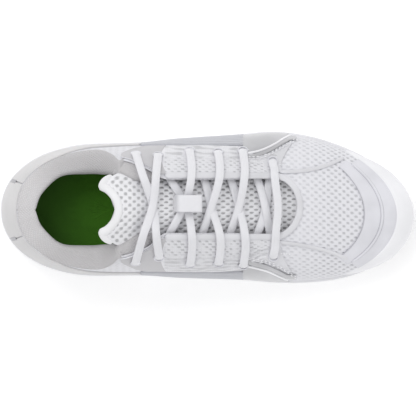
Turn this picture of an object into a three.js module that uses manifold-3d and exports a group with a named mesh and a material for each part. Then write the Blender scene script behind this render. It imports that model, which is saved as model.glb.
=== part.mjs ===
// A low-cut cheer shoe, left foot: sole, strobel-lasted upper, padded collar and tongue, one flat lace.
// Millimetres, +Z up, toe towards +X, the foot's outer (lateral) side towards +Y, outsole on z = 0.
import * as THREE from "three";
import { mergeVertices } from "three/addons/utils/BufferGeometryUtils.js";
import Module from "manifold-3d";

const wasm = await Module();
wasm.setup();

// ---- driving dimensions -------------------------------------------------------------------------
const SHOE_LENGTH = 270;
const BALL_WIDTH = 97.6;
const WAIST_WIDTH = 86;
const HEEL_SOLE = 22; // top of the midsole above the floor, under the heel
const BALL_SOLE = 14.5; // the same under the ball of the foot
const TOE_SOLE = 17.5;
const INSTEP_HEIGHT = 92; // crest of the upper at the back of the lacing
const VAMP_HEIGHT = 54; // crest at the front of the throat
const TOE_HEIGHT = 39;
const ANKLE_HEIGHT = 53; // quarter edge at its lowest, below the ankle bone
const HEEL_HEIGHT = 65; // quarter edge at the back of the heel
const TOE_SPRING = 7;
const HEEL_BEVEL = 2.5;
const TREAD = 3; // outsole thickness
const BUMPER = 2.7; // how far the toe bumper stands proud of the upper
const GAP = 0.3; // clearance between neighbouring pieces
const LAYER_GAP = 0.5; // clearance between the curved layers of the upper
const OVERLAY = 1.2; // thickness of every outer overlay
const CLOTH = 1.2; // thickness of the mesh, the quarters and the linings
const BOARD = 1.5;
const INSOLE = 4;
const TONGUE = 4.5;
const TONGUE_TOP = 7;
const BINDING = 4.4; // rolled edge of the tongue
const LACE_WIDTH = 5.4;
const LACE_THICK = 2.6;
const EYELET = 7.6; // punched eyelet
const THROAT_LATERAL = 19.1; // throat edges, across from the centre line
const THROAT_MEDIAL = -16.8;
const STRIP = 4; // width of the throat binding
const SHANK = [90, 22, 1.4];

// ---- places along the shoe, from the heel (share 0) to the toe (share 1) --------------------------
const along = (share) => (share - 0.5) * SHOE_LENGTH;
const HEEL_X = along(0.241); // where the heel's round begins
const BALL_X = along(0.667); // where the toe's round begins
const TOE_X = SHOE_LENGTH / 2 - BUMPER;
const HEEL_REACH = HEEL_X + SHOE_LENGTH / 2;
const TOE_REACH = TOE_X - BALL_X;
const CREST_X = along(0.722); // from here the crest curves down to the toe
const QUARTER_X = along(0.595); // seam between vamp and quarters
const COLLAR_X = along(0.307); // front ends of the padded collar
const EYESTAY_BACK_X = along(0.289);
const THROAT_X = along(0.657); // end of the straight throat edges
const THROAT_ROUND = 15.8; // depth of the throat's rounded front
const FOLD_X = along(0.322); // fold of the tongue's free top
const TONGUE_FRONT_X = along(0.745);
const HEEL_TURN = 90; // the heel's round counts on from HEEL_X as 90 steps of one degree

// Layers of the upper, as depths below its outer surface.
const BASE = OVERLAY + LAYER_GAP;
const LINING = BASE + CLOTH + LAYER_GAP;
const INSIDE = LINING + CLOTH + LAYER_GAP;
const UNDER_LACE = INSIDE + LACE_THICK / 2;
const TONGUE_DEPTH = UNDER_LACE + LACE_THICK / 2 + 5.5 * GAP;

const rad = THREE.MathUtils.degToRad;

// A smooth curve through stations [x, value], level beyond both ends.
function through(stations) {
  const slope = (i) => {
    const a = stations[Math.max(i - 1, 0)];
    const b = stations[Math.min(i + 1, stations.length - 1)];
    return i === 0 || i === stations.length - 1 ? 0 : (b[1] - a[1]) / (b[0] - a[0]);
  };
  return (x) => {
    if (x <= stations[0][0]) return stations[0][1];
    const i = stations.findIndex((s) => s[0] >= x) - 1;
    if (i < 0) return stations[stations.length - 1][1];
    const [xa, ya] = stations[i];
    const [xb, yb] = stations[i + 1];
    const w = xb - xa;
    const u = (x - xa) / w;
    const rise = (1 - u) * (1 - u) * u * w * slope(i) - u * u * (1 - u) * w * slope(i + 1);
    return ya + (yb - ya) * u * u * (3 - 2 * u) + rise;
  };
}

const middle = through([
  [along(0), -1.3],
  [along(0.24), -1],
  [along(0.5), 0.3],
  [along(0.67), 0.5],
  [along(0.87), -3.7],
  [along(1), -5.3],
]);
const widest = through([
  [along(0), WAIST_WIDTH / 2],
  [along(0.333), WAIST_WIDTH / 2],
  [along(0.426), WAIST_WIDTH / 2 + 2],
  [along(0.574), BALL_WIDTH / 2 - 1.8],
  [along(0.667), BALL_WIDTH / 2],
]);
const soleTop = through([
  [along(0), HEEL_SOLE + 1],
  [along(0.24), HEEL_SOLE],
  [along(0.5), (HEEL_SOLE + BALL_SOLE) / 2],
  [along(0.72), BALL_SOLE],
  [along(0.87), BALL_SOLE + 0.7],
  [along(1), TOE_SOLE],
]);
const crest = through([
  [along(0.24), INSTEP_HEIGHT + 1.5],
  [along(0.29), INSTEP_HEIGHT],
  [along(0.43), INSTEP_HEIGHT - 13],
  [along(0.57), VAMP_HEIGHT + 12.5],
  [along(0.715), VAMP_HEIGHT],
  [along(0.87), TOE_HEIGHT + 4],
  [along(1), TOE_HEIGHT - 1],
]);
// Height of the quarters' edge round the collar, along the skin's own run (see skin below).
const topline = through([
  [HEEL_X - HEEL_TURN, HEEL_HEIGHT],
  [HEEL_X - 0.55 * HEEL_TURN, HEEL_HEIGHT - 5],
  [HEEL_X - 0.12 * HEEL_TURN, ANKLE_HEIGHT + 1],
  [HEEL_X, ANKLE_HEIGHT + 1.5],
  [along(0.27), ANKLE_HEIGHT + 11],
  [EYESTAY_BACK_X, ANKLE_HEIGHT + 19],
]);

// Underside of the outsole: flat, lifted by the toe spring and the heel bevel.
function floorLine(x) {
  const toe = Math.max(0, (x - along(0.722)) / (along(1) - along(0.722)));
  const heel = Math.max(0, (along(0.1) - x) / (along(0.1) - along(0)));
  return TOE_SPRING * toe * toe + HEEL_BEVEL * heel * heel;
}

// Half the shoe's breadth at x, at a depth inside its outer surface: superellipses round heel and toe.
function breadth(x, depth) {
  const base = widest(x) - depth;
  if (x > BALL_X) return base * Math.sqrt(Math.max(0, 1 - ((x - BALL_X) / (TOE_REACH - depth)) ** 2));
  if (x < HEEL_X) return base * Math.max(0, 1 - ((HEEL_X - x) / (HEEL_REACH - depth)) ** 2.1) ** (1 / 2.1);
  return base;
}

function rise(x, depth) {
  const share = Math.max(0, (x - CREST_X) / (TOE_X - CREST_X - depth));
  return (crest(x) - soleTop(x) - depth) * Math.cbrt(Math.max(0, 1 - share ** 3));
}

const ARCH = 0.8; // power of the cosine in the upper's section: under 1 gives fuller shoulders
const heelLean = (z) => 0.0075 * (z - HEEL_SOLE - 8) ** 2;
const round = (v) => Math.abs(v) ** 0.95;

// The upper's outer surface, pushed in by depth. t is 0 at the crest and 90 at the sole, degrees.
// run is x itself in front of HEEL_X and goes on behind it by the angle round the heel.
function skin(side, run, t, depth) {
  const s = Math.sin(rad(t));
  const c = Math.max(0, Math.cos(rad(t))) ** ARCH;
  if (run >= HEEL_X) {
    return new THREE.Vector3(run, middle(run) + side * breadth(run, depth) * s, soleTop(run) + rise(run, depth) * c);
  }
  const turn = rad(((run - HEEL_X + HEEL_TURN) * 90) / HEEL_TURN);
  const back = HEEL_X - HEEL_REACH * round(Math.cos(turn));
  const z = soleTop(back) + rise(HEEL_X, depth) * c;
  const x = HEEL_X - (HEEL_REACH - depth - heelLean(z)) * round(Math.cos(turn));
  return new THREE.Vector3(x, middle(back) + side * breadth(HEEL_X, depth) * s * round(Math.sin(turn)), z);
}

// The angle t of a height on the skin.
function angleAt(run, z) {
  const x = Math.max(run, HEEL_X);
  const share = THREE.MathUtils.clamp((z - soleTop(x)) / rise(x, 0), 0, 1);
  return THREE.MathUtils.radToDeg(Math.acos(share ** (1 / ARCH)));
}

// The point of the upper above a place in plan, at a depth.
function drape(x, y, depth) {
  const s = THREE.MathUtils.clamp((y - middle(x)) / breadth(x, depth), -1, 1);
  return skin(Math.sign(s) || 1, x, THREE.MathUtils.radToDeg(Math.asin(Math.abs(s))), depth);
}

// The toe in rings: share 1 is the sole's edge, angle 0 points forward.
function toeSkin(share, angle, depth) {
  const ring = Math.min(share, 0.9995);
  const x = BALL_X + (TOE_REACH - depth) * ring * Math.cos(rad(angle));
  const half = widest(BALL_X) - depth;
  return drape(x, middle(x) + half * ring * Math.sin(rad(angle)), depth);
}

// ---- mesh helpers ---------------------------------------------------------------------------------
function signedVolume(positions, index) {
  const [a, b, c] = [new THREE.Vector3(), new THREE.Vector3(), new THREE.Vector3()];
  let sum = 0;
  for (let i = 0; i < index.length; i += 3) {
    a.fromArray(positions, 3 * index[i]);
    b.fromArray(positions, 3 * index[i + 1]);
    c.fromArray(positions, 3 * index[i + 2]);
    sum += a.dot(b.cross(c));
  }
  return sum / 6;
}

function closed(points, index) {
  const positions = points.flatMap((p) => [p.x, p.y, p.z]);
  if (signedVolume(positions, index) < 0) {
    index.reverse();
  }
  const geometry = new THREE.BufferGeometry();
  geometry.setAttribute("position", new THREE.Float32BufferAttribute(positions, 3));
  geometry.setIndex(index);
  return geometry;
}

// A sheet with a thickness: at(u, v, 0) is its outer face and at(u, v, 1) its inner face.
function sheet(across, down, at) {
  const points = [];
  const index = [];
  const place = (i, j, k) => (k * (across + 1) + i) * (down + 1) + j;
  const quad = (a, b, c, d) => index.push(a, b, c, a, c, d);
  for (let k = 0; k < 2; k += 1) {
    for (let i = 0; i <= across; i += 1) {
      for (let j = 0; j <= down; j += 1) points.push(at(i / across, j / down, k));
    }
  }
  for (let i = 0; i < across; i += 1) {
    for (let j = 0; j < down; j += 1) {
      quad(place(i, j, 0), place(i + 1, j, 0), place(i + 1, j + 1, 0), place(i, j + 1, 0));
      quad(place(i, j, 1), place(i, j + 1, 1), place(i + 1, j + 1, 1), place(i + 1, j, 1));
    }
    quad(place(i, 0, 0), place(i, 0, 1), place(i + 1, 0, 1), place(i + 1, 0, 0));
    quad(place(i, down, 0), place(i + 1, down, 0), place(i + 1, down, 1), place(i, down, 1));
  }
  for (let j = 0; j < down; j += 1) {
    quad(place(0, j, 0), place(0, j + 1, 0), place(0, j + 1, 1), place(0, j, 1));
    quad(place(across, j, 0), place(across, j, 1), place(across, j + 1, 1), place(across, j + 1, 0));
  }
  return closed(points, index);
}

// Rings of points joined one to the next and capped at both ends. flat gives the caps' outline.
function loft(rings, flat) {
  const n = rings[0].length;
  const points = rings.flat();
  const index = [];
  for (let i = 0; i + 1 < rings.length; i += 1) {
    for (let j = 0; j < n; j += 1) {
      const a = i * n + j;
      const b = i * n + ((j + 1) % n);
      index.push(a, b, b + n, a, b + n, a + n);
    }
  }
  const last = (rings.length - 1) * n;
  const turning = Math.sign(THREE.ShapeUtils.area(flat));
  for (const [a, b, c] of THREE.ShapeUtils.triangulateShape(flat, [])) {
    const same = Math.sign(THREE.ShapeUtils.area([flat[a], flat[b], flat[c]])) === turning;
    const forward = same ? [a, b, c] : [a, c, b];
    index.push(forward[2], forward[1], forward[0]);
    index.push(...forward.map((k) => k + last));
  }
  return closed(points, index);
}

function solid(geometry) {
  const bare = new THREE.BufferGeometry();
  bare.setAttribute("position", geometry.getAttribute("position"));
  bare.setIndex(geometry.getIndex());
  const merged = mergeVertices(bare, 1e-4);
  return new wasm.Manifold(
    new wasm.Mesh({
      numProp: 3,
      vertProperties: merged.attributes.position.array,
      triVerts: new Uint32Array(merged.index.array),
    }),
  );
}

function cut(geometry, ...cutters) {
  const made = cutters.reduce((left, c) => left.subtract(solid(c)), solid(geometry)).getMesh();
  const result = new THREE.BufferGeometry();
  result.setAttribute("position", new THREE.BufferAttribute(made.vertProperties, 3));
  result.setIndex(new THREE.BufferAttribute(made.triVerts, 1));
  return result;
}

// ---- the part -------------------------------------------------------------------------------------
const group = new THREE.Group();
const materials = {
  rubber: new THREE.MeshStandardMaterial({ color: 0xe4e4e8, roughness: 0.7, metalness: 0 }),
  foam: new THREE.MeshStandardMaterial({ color: 0xeeeef0, roughness: 0.75, metalness: 0 }),
  synthetic: new THREE.MeshStandardMaterial({ color: 0xe6e6ea, roughness: 0.45, metalness: 0 }),
  pearl: new THREE.MeshStandardMaterial({ color: 0xc8c8ca, roughness: 0.35, metalness: 0 }),
  mesh: new THREE.MeshStandardMaterial({ color: 0xe2e2e6, roughness: 0.85, metalness: 0 }),
  knit: new THREE.MeshStandardMaterial({ color: 0xd9d7d9, roughness: 0.95, metalness: 0 }),
  lace: new THREE.MeshStandardMaterial({ color: 0xf0f0f3, roughness: 0.8, metalness: 0 }),
  green: new THREE.MeshStandardMaterial({ color: 0x2a5510, roughness: 0.9, metalness: 0 }),
  plastic: new THREE.MeshStandardMaterial({ color: 0xd8d8dc, roughness: 0.5, metalness: 0 }),
};

function add(name, geometry, material) {
  const mesh = new THREE.Mesh(geometry, material);
  mesh.name = name;
  group.add(mesh);
  return mesh;
}

const SIDES = [
  ["lateral", 1, THROAT_LATERAL],
  ["medial", -1, -THROAT_MEDIAL],
];
const mix = THREE.MathUtils.lerp;

// ---- sole -----------------------------------------------------------------------------------------
// Stations from one end of a sole piece to the other, closer together at its round ends.
const stations = (from, to, count) =>
  Array.from({ length: count + 1 }, (_, i) => mix(from, to, (1 - Math.cos((Math.PI * i) / count)) / 2));

// A slab between two heights whose edges follow the shoe's outline at two depths.
function slab(from, to, count, low, high, lowDepth, highDepth) {
  const share = [-1, -0.5, 0, 0.5, 1];
  const ring = (x) => [
    ...share.map((s) => new THREE.Vector3(x, middle(x) + s * breadth(x, lowDepth), low(x))),
    ...share.map((s) => new THREE.Vector3(x, middle(x) - s * breadth(x, highDepth), high(x))),
  ];
  const rings = stations(from, to, count).map(ring);
  return loft(rings, rings[count >> 1].map((p) => new THREE.Vector2(p.y, p.z)));
}

const SOLE_DEPTH = 3;
const outsoleTop = (x) => floorLine(x) + TREAD;
const soleEnds = (depth) => [-SHOE_LENGTH / 2 + depth + 1, TOE_X - depth - 0.6];

function makeOutsole() {
  const [back, front] = soleEnds(SOLE_DEPTH);
  const plate = (from, to) => slab(from, to, 12, floorLine, outsoleTop, SOLE_DEPTH + 1, SOLE_DEPTH);
  add("outsole_forefoot", plate(along(0.46), front), materials.rubber);
  add("outsole_heel", plate(back, along(0.31)), materials.rubber);
}

function makeMidsole() {
  const [back, front] = soleEnds(SOLE_DEPTH);
  const low = (x) => outsoleTop(x) + GAP;
  const high = (x) => soleTop(x) - GAP;
  const body = slab(back, front, 26, low, high, SOLE_DEPTH - 0.4, 0.4);
  const pocket = new THREE.BoxGeometry(SHANK[0] + 2 * GAP, SHANK[1] + 2 * GAP, 2 * shankDepth);
  const [x, z, tilt] = shankSeat();
  pocket.rotateY(tilt);
  pocket.translate(x, middle(x), z);
  add("midsole", cut(body, pocket), materials.foam);
}

// The shank lies along the waist, let into the top of the midsole.
const shankDepth = SHANK[2] + 4 * GAP;
function shankSeat() {
  const x = along(0.4);
  const [a, b] = [x - SHANK[0] / 2, x + SHANK[0] / 2];
  return [x, (soleTop(a) + soleTop(b)) / 2, Math.atan((soleTop(a) - soleTop(b)) / SHANK[0])];
}

function makeShank() {
  const [x, z, tilt] = shankSeat();
  const plate = add("shank", new THREE.BoxGeometry(...SHANK), materials.plastic);
  plate.rotation.y = tilt;
  plate.position.set(x, middle(x), z - shankDepth + GAP + SHANK[2] / 2);
}

function makeInnerSole() {
  const inner = INSIDE + GAP;
  const from = -SHOE_LENGTH / 2 + inner + 3;
  const to = TOE_X - inner - 2;
  const level = (lift) => (x) => soleTop(x) + lift;
  add("strobel_board", slab(from, to, 18, level(0), level(BOARD), inner, inner + 0.2), materials.knit);
  const low = BOARD + GAP;
  const depth = inner + 1.5;
  const foam = slab(from + 2, to - 6, 20, level(low), level(low + INSOLE), depth, depth + 0.8);
  add("insole", foam, materials.green);
}

// The bumper lies over the toe of the upper and turns down over the end of the midsole.
function makeBumper() {
  const drop = 8;
  const turn = 56;
  const bumper = sheet(16, 6, (u, v, k) => {
    const angle = mix(-turn, turn, u);
    const wrap = Math.min(1, v / 0.7);
    const taper = Math.min(1, 4 * u, 4 * (1 - u));
    const share = mix(bandShare(2, angle) + 0.006, 1, wrap);
    const outside = -mix(OVERLAY, BUMPER, wrap) * mix(0.55, 1, taper);
    const p = toeSkin(share, angle, k ? -GAP : outside);
    p.z -= drop * Math.max(0, (v - 0.7) / 0.3);
    return p;
  });
  add("toe_bumper", bumper, materials.rubber);
}

// ---- toe bands: their edges as shares of the toe's rings, drawn out towards the sides ----------------
const BAND_EDGES = [
  [0.655, 0.115],
  [0.79, 0.085],
  [0.897, 0.062],
];
function bandShare(edge, angle) {
  const [front, side] = BAND_EDGES[edge];
  return Math.min(0.985, front + side * (angle / 53) ** 2);
}

function makeToeBands() {
  const band = (inner, outer, turn) =>
    sheet(14, 3, (u, v, k) => {
      const angle = mix(-turn, turn, u);
      const share = mix(bandShare(inner, angle) + 0.004, bandShare(outer, angle) - 0.004, v);
      return toeSkin(share, angle, k ? OVERLAY : 0);
    });
  add("toe_band_inner", band(0, 1, 52), materials.synthetic);
  add("toe_band_outer", band(1, 2, 50), materials.synthetic);
}

// ---- base layer and linings -------------------------------------------------------------------------
const throatMiddle = (THROAT_LATERAL + THROAT_MEDIAL) / 2;
const throatHalf = (THROAT_LATERAL - THROAT_MEDIAL) / 2;

// The throat as a tall prism: straight sides and a rounded front, wider by margin.
function throatPrism(margin) {
  const outline = new THREE.Shape();
  const half = throatHalf + margin;
  outline.moveTo(along(0.1), throatMiddle - half);
  outline.lineTo(THROAT_X, throatMiddle - half);
  outline.absellipse(THROAT_X, throatMiddle, THROAT_ROUND + margin, half, -Math.PI / 2, Math.PI / 2, false, 0);
  outline.lineTo(along(0.1), throatMiddle + half);
  outline.closePath();
  const prism = new THREE.ExtrudeGeometry(outline, { depth: 200, bevelEnabled: false, curveSegments: 8 });
  return prism.translate(0, 0, HEEL_SOLE);
}

const EYELET_ROWS = [
  { lateral: [42, 30.4], medial: [42.6, -31.6] },
  { lateral: [22.6, 37.2], medial: [23, -37.4] },
  { lateral: [6.5, 36.2], medial: [6.8, -35.9] },
  { lateral: [-12, 37.2], medial: [-11.7, -36.6] },
  { lateral: [-32.6, 34.2], medial: [-32.1, -32] },
  { lateral: [-46.9, 35], medial: [-47.2, -35.4] },
];

// Directions on the upper at an eyelet: towards the toe, towards the throat, and square to the surface.
function eyeletAxes(x, y) {
  const top = drape(x, y, 0);
  const fore = drape(x + 1, y, 0).sub(drape(x - 1, y, 0)).normalize();
  const throatward = drape(x, y - Math.sign(y), 0).sub(drape(x, y + Math.sign(y), 0)).normalize();
  const square = new THREE.Vector3().crossVectors(fore, throatward).normalize();
  if (square.z < 0) square.negate();
  return { top, fore, throatward, square };
}

// A punch square to the upper at every eyelet of one side.
function punches(sideName) {
  return EYELET_ROWS.map((row) => {
    const { top, square } = eyeletAxes(...row[sideName]);
    const punch = new THREE.CylinderGeometry(EYELET / 2, EYELET / 2, 22, 10);
    punch.applyQuaternion(new THREE.Quaternion().setFromUnitVectors(new THREE.Vector3(0, 1, 0), square));
    return punch.translate(top.x, top.y, top.z);
  });
}

const layer = (depth, thickness, k) => depth + (k ? thickness : 0);

function makeVamp() {
  const from = QUARTER_X + GAP / 2;
  const shell = sheet(14, 16, (u, v, k) => {
    const depth = layer(BASE, CLOTH, k);
    const x = mix(from, TOE_X - depth - 0.5, Math.sin((Math.PI / 2) * u ** 0.8));
    return skin(v < 0.5 ? -1 : 1, x, Math.abs(mix(-90, 90, v)), depth);
  });
  add("vamp", cut(shell, throatPrism(0), punches("lateral")[0], punches("medial")[0]), materials.mesh);
}

const PUFF_SHARE = 0.62;
function makeVampLining() {
  const from = along(0.41);
  const to = BALL_X + (PUFF_SHARE - 0.01) * TOE_REACH;
  const shell = sheet(11, 14, (u, v, k) => {
    return skin(v < 0.5 ? -1 : 1, mix(from, to, u), Math.abs(mix(-90, 90, v)), layer(LINING, CLOTH, k));
  });
  const holes = ["lateral", "medial"].flatMap((side) => punches(side).slice(0, 5));
  add("vamp_lining", cut(shell, throatPrism(0), ...holes), materials.knit);
}

function makeToePuff() {
  const from = BALL_X + PUFF_SHARE * TOE_REACH;
  const puff = sheet(7, 12, (u, v, k) => {
    const depth = layer(LINING, CLOTH, k);
    const x = mix(from, TOE_X - depth - 0.5, Math.sin((Math.PI / 2) * u));
    return skin(v < 0.5 ? -1 : 1, x, Math.abs(mix(-90, 90, v)), depth);
  });
  add("toe_puff", puff, materials.plastic);
}

// The quarters' upper edge beside the lacing, as a distance from the centre line.
function quarterEdge(throat) {
  return through([
    [EYESTAY_BACK_X, 32],
    [along(0.333), 28.5],
    [along(0.36), 25],
    [along(0.389), throat + 1],
    [along(0.407), throat],
  ]);
}

function edgeAngle(side, run, throat, margin) {
  if (run < EYESTAY_BACK_X) return angleAt(run, topline(run));
  const y = side * (quarterEdge(throat)(run) + margin) - middle(run);
  return THREE.MathUtils.radToDeg(Math.asin(Math.abs(y) / breadth(run, 0)));
}

// Runs along one side of the shoe, closer together round the heel.
function sideRuns(from, to, count) {
  return (u) => mix(from, to, u);
}

function makeQuarters() {
  for (const [name, side, throat] of SIDES) {
    const run = sideRuns(QUARTER_X - GAP / 2, HEEL_X - HEEL_TURN + 0.6);
    const shell = sheet(28, 8, (u, v, k) => {
      const t = mix(edgeAngle(side, run(u), throat, 0), 90, v);
      return skin(side, run(u), t, layer(BASE, CLOTH, k));
    });
    add(`quarter_${name}`, cut(shell, ...punches(name).slice(1)), materials.mesh);
  }
}

function makeHeelCounter() {
  const reach = 74;
  const counter = sheet(20, 4, (u, v, k) => {
    const g = mix(-reach, reach, u);
    const run = HEEL_X - HEEL_TURN + Math.abs(g);
    const high = mix(topline(run) - 12, HEEL_SOLE + 14, (Math.abs(g) / reach) ** 2);
    return skin(Math.sign(g) || 1, run, mix(angleAt(run, high), 90, v), layer(LINING, CLOTH, k));
  });
  add("heel_counter", counter, materials.plastic);
}

// ---- overlays -----------------------------------------------------------------------------------------
// An overlay on one side between two edges given in plan, as distances from the centre line.
function overlay(side, from, to, upper, lower, across, down) {
  return sheet(across, down, (u, v, k) => {
    const x = mix(from, to, u);
    const limit = (y) => {
      const share = Math.abs(side * y - middle(x)) / breadth(x, 0);
      return THREE.MathUtils.radToDeg(Math.asin(Math.min(share, Math.sin(rad(LOW_EDGE)))));
    };
    return skin(side, x, mix(limit(upper(x)), limit(lower(x)), v), k ? OVERLAY : 0);
  });
}
const LOW_EDGE = 88;
const level = (y) => () => y;
const BAND_LATERAL = 41; // where the eyestays end and the ribbed side bands begin
const BAND_MEDIAL = 41.8;
const PANEL_X = along(0.589); // rear edge of the side panels
const EYESTAY_FRONT_X = along(0.68);

function makeEyestays() {
  for (const [name, side, throat] of SIDES) {
    const low = name === "lateral" ? BAND_LATERAL : BAND_MEDIAL;
    const hem = through([
      [PANEL_X, low],
      [EYESTAY_FRONT_X, 35],
    ]);
    const top = (x) => Math.max(quarterEdge(throat)(x) + 1.5, throat + STRIP + 3 * GAP);
    const shape = overlay(side, EYESTAY_BACK_X, EYESTAY_FRONT_X, top, hem, 18, 4);
    add(`eyestay_${name}`, cut(shape, ...punches(name)), materials.synthetic);
  }
}

function makeThroatBinding() {
  const straight = THROAT_X - along(0.407);
  const binding = sheet(26, 1, (u, v, k) => {
    const legs = 0.28;
    const wide = throatHalf + STRIP * v;
    let place = [THROAT_X - (straight * (legs - Math.min(u, 1 - u))) / legs, throatMiddle + Math.sign(0.5 - u) * wide];
    if (u > legs && u < 1 - legs) {
      const angle = Math.PI * (0.5 - (u - legs) / (1 - 2 * legs));
      const deep = THROAT_ROUND + 0.8 * STRIP * v;
      place = [THROAT_X + deep * Math.cos(angle), throatMiddle + wide * Math.sin(angle)];
    }
    return drape(place[0], place[1], k ? OVERLAY : 0);
  });
  add("throat_binding", binding, materials.synthetic);
}

function makeSidePanels() {
  for (const [name, side] of SIDES) {
    const low = name === "lateral" ? BAND_LATERAL : BAND_MEDIAL;
    const piping = through([
      [PANEL_X, low + 1.2],
      [PANEL_X + 15, low + 2.6],
      [PANEL_X + 30, low + 7],
    ]);
    const panel = overlay(side, PANEL_X, PANEL_X + 24, piping, level(BALL_WIDTH), 6, 4);
    add(`side_panel_${name}`, panel, materials.pearl);
    const band = overlay(side, along(0.337), PANEL_X - GAP, level(low + 2 * GAP), level(BALL_WIDTH), 12, 5);
    add(`side_band_${name}`, band, materials.mesh);
  }
}

function makeVampStrips() {
  for (const [name, side, throat] of SIDES) {
    const from = EYESTAY_FRONT_X + GAP;
    const to = along(0.81);
    const inner = through([
      [from, throat + STRIP + 3 * GAP],
      [to, 30],
    ]);
    const strip = overlay(side, from, to, inner, (x) => inner(x) + 5, 8, 1);
    add(`vamp_strip_${name}`, strip, materials.synthetic);
  }
}

const COVER_TURN = 26; // half the heel cover's reach round the heel
function makeRearOverlays() {
  const cover = sheet(10, 4, (u, v, k) => {
    const g = mix(-COVER_TURN, COVER_TURN, u);
    const run = HEEL_X - HEEL_TURN + Math.abs(g);
    return skin(Math.sign(g) || 1, run, mix(angleAt(run, topline(run) - 1), LOW_EDGE, v), k ? OVERLAY : 0);
  });
  add("heel_cover", cover, materials.synthetic);
  for (const [name, side] of SIDES) {
    const run = sideRuns(HEEL_X - HEEL_TURN + COVER_TURN + 0.6, along(0.335));
    const band = sheet(14, 3, (u, v, k) => {
      const top = soleTop(Math.max(run(u), HEEL_X)) + mix(26, 17, u);
      return skin(side, run(u), mix(angleAt(run(u), top), LOW_EDGE, v), k ? OVERLAY : 0);
    });
    add(`rear_overlay_${name}`, band, materials.synthetic);
  }
}

// ---- padded collar --------------------------------------------------------------------------------------
// A point on the inside of the wall: depth in from the skin at a height.
function wall(side, run, depth, z) {
  const p = skin(side, run, angleAt(run, z), 0);
  const q = skin(side, run, angleAt(run, z), 1);
  const inward = new THREE.Vector3(q.x - p.x, q.y - p.y, 0).normalize();
  return new THREE.Vector3(p.x, p.y, z).addScaledVector(inward, depth);
}

// How far the padding reaches into the mouth: it thins out towards the tongue.
const collarDepth = through([
  [HEEL_X - HEEL_TURN, 14.5],
  [HEEL_X, 17.5],
  [along(0.262), 16],
  [COLLAR_X, 11.3],
]);

const COLLAR_FOOT = 10.4; // depth of the lining where it meets the insole
// The collar's section, outer foot to roll to inner foot, as [depth, height].
function collarSection(run) {
  const top = topline(run);
  const foot = soleTop(Math.max(run, HEEL_X)) + BOARD + INSOLE + 3;
  const mouth = collarDepth(run);
  return [
    [INSIDE, foot],
    [INSIDE, mix(foot, top, 0.3)],
    [INSIDE, mix(foot, top, 0.6)],
    [INSIDE, top - 5],
    [INSIDE - 0.3, top + 0.2],
    [INSIDE + 1.4, top + 2.6],
    [mix(INSIDE, mouth, 0.6), top + 3.2],
    [mouth - 1.4, top + 0.8],
    [mouth, top - 5],
    [mouth - 0.6, mix(foot, top, 0.6)],
    [mix(COLLAR_FOOT, mouth, 0.4), mix(foot, top, 0.3)],
    [COLLAR_FOOT, foot],
  ].map(([n, z]) => new THREE.Vector2(n, z));
}

// An open outline moved inwards by a distance, its corners mitred.
function inset(line, distance) {
  const square = (a, b) => new THREE.Vector2(b.y - a.y, a.x - b.x).normalize();
  return line.map((p, i) => {
    const before = square(line[Math.max(i - 1, 0)], line[Math.max(i, 1)]);
    const after = square(line[Math.min(i, line.length - 2)], line[Math.min(i + 1, line.length - 1)]);
    const mitre = before.clone().add(after).normalize();
    return p.clone().addScaledVector(mitre, distance / mitre.dot(after));
  });
}

function collarLoft(section) {
  const steps = 24;
  const rings = [];
  let flat;
  for (let i = 0; i <= steps; i += 1) {
    const side = i < steps / 2 ? 1 : -1;
    const share = Math.abs((2 * i) / steps - 1);
    const run = mix(HEEL_X - HEEL_TURN, COLLAR_X, share);
    flat = section(run);
    rings.push(flat.map((p) => wall(side, run, p.x, p.y)));
  }
  return loft(rings, flat);
}

// The foam fills the lining from the same foot and mouth, and stops under the roll.
function foamSection(run) {
  const top = topline(run);
  const [outerFoot] = collarSection(run);
  const clear = CLOTH + 3.3 * GAP;
  const outer = outerFoot.x + clear;
  const mouth = collarDepth(run) - clear;
  const foot = outerFoot.y;
  const inner = COLLAR_FOOT - clear;
  return [
    [outer, foot],
    [outer, mix(foot, top, 0.3)],
    [outer, mix(foot, top, 0.6)],
    [outer, top - 5],
    [mix(outer, mouth, 0.5), top + 0.3],
    [mouth, top - 6],
    [mouth - 0.7, mix(foot, top, 0.6) + 0.3],
    [mix(inner, mouth, 0.38), mix(foot, top, 0.3) + 0.3],
    [inner, foot],
  ].map(([n, z]) => new THREE.Vector2(n, z));
}

function makeCollar() {
  const lining = (run) => {
    const outer = collarSection(run);
    return [...outer, ...inset(outer, CLOTH).reverse()];
  };
  add("collar_lining", collarLoft(lining), materials.knit);
  add("collar_foam", collarLoft(foamSection), materials.foam);
}

// ---- tongue ---------------------------------------------------------------------------------------------
const TONGUE_WIDTH = 22; // half the tongue's width
const tongueDepth = through([
  [along(0.66), TONGUE_DEPTH],
  [along(0.722), INSIDE],
]);

function makeTongue() {
  const tongue = sheet(14, 8, (u, v, k) => {
    const x = mix(FOLD_X + GAP / 2, TONGUE_FRONT_X, u);
    const y = middle(x) + mix(-TONGUE_WIDTH, TONGUE_WIDTH, v);
    return drape(x, y, tongueDepth(x) + (k ? TONGUE : 0));
  });
  add("tongue", tongue, materials.mesh);
}

// Rear edge of the tongue, across its width (share -1 to 1): a hollow between two wing tips.
function tongueRim(share) {
  const hollow = along(0.281);
  const tip = along(0.242);
  return mix(hollow, tip, Math.min(1, (Math.abs(share) / 0.72) ** 2));
}
const FLAP_TOP_DEPTH = 5.2;
const FOLD_BACK = 1.3; // the flap's front face is cut back by this so that it can also fold down a little
const FLAP_WIDTH = 20.5; // half the width of the free top
const flapY = (x, share) => middle(x) + share * FLAP_WIDTH;

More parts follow.
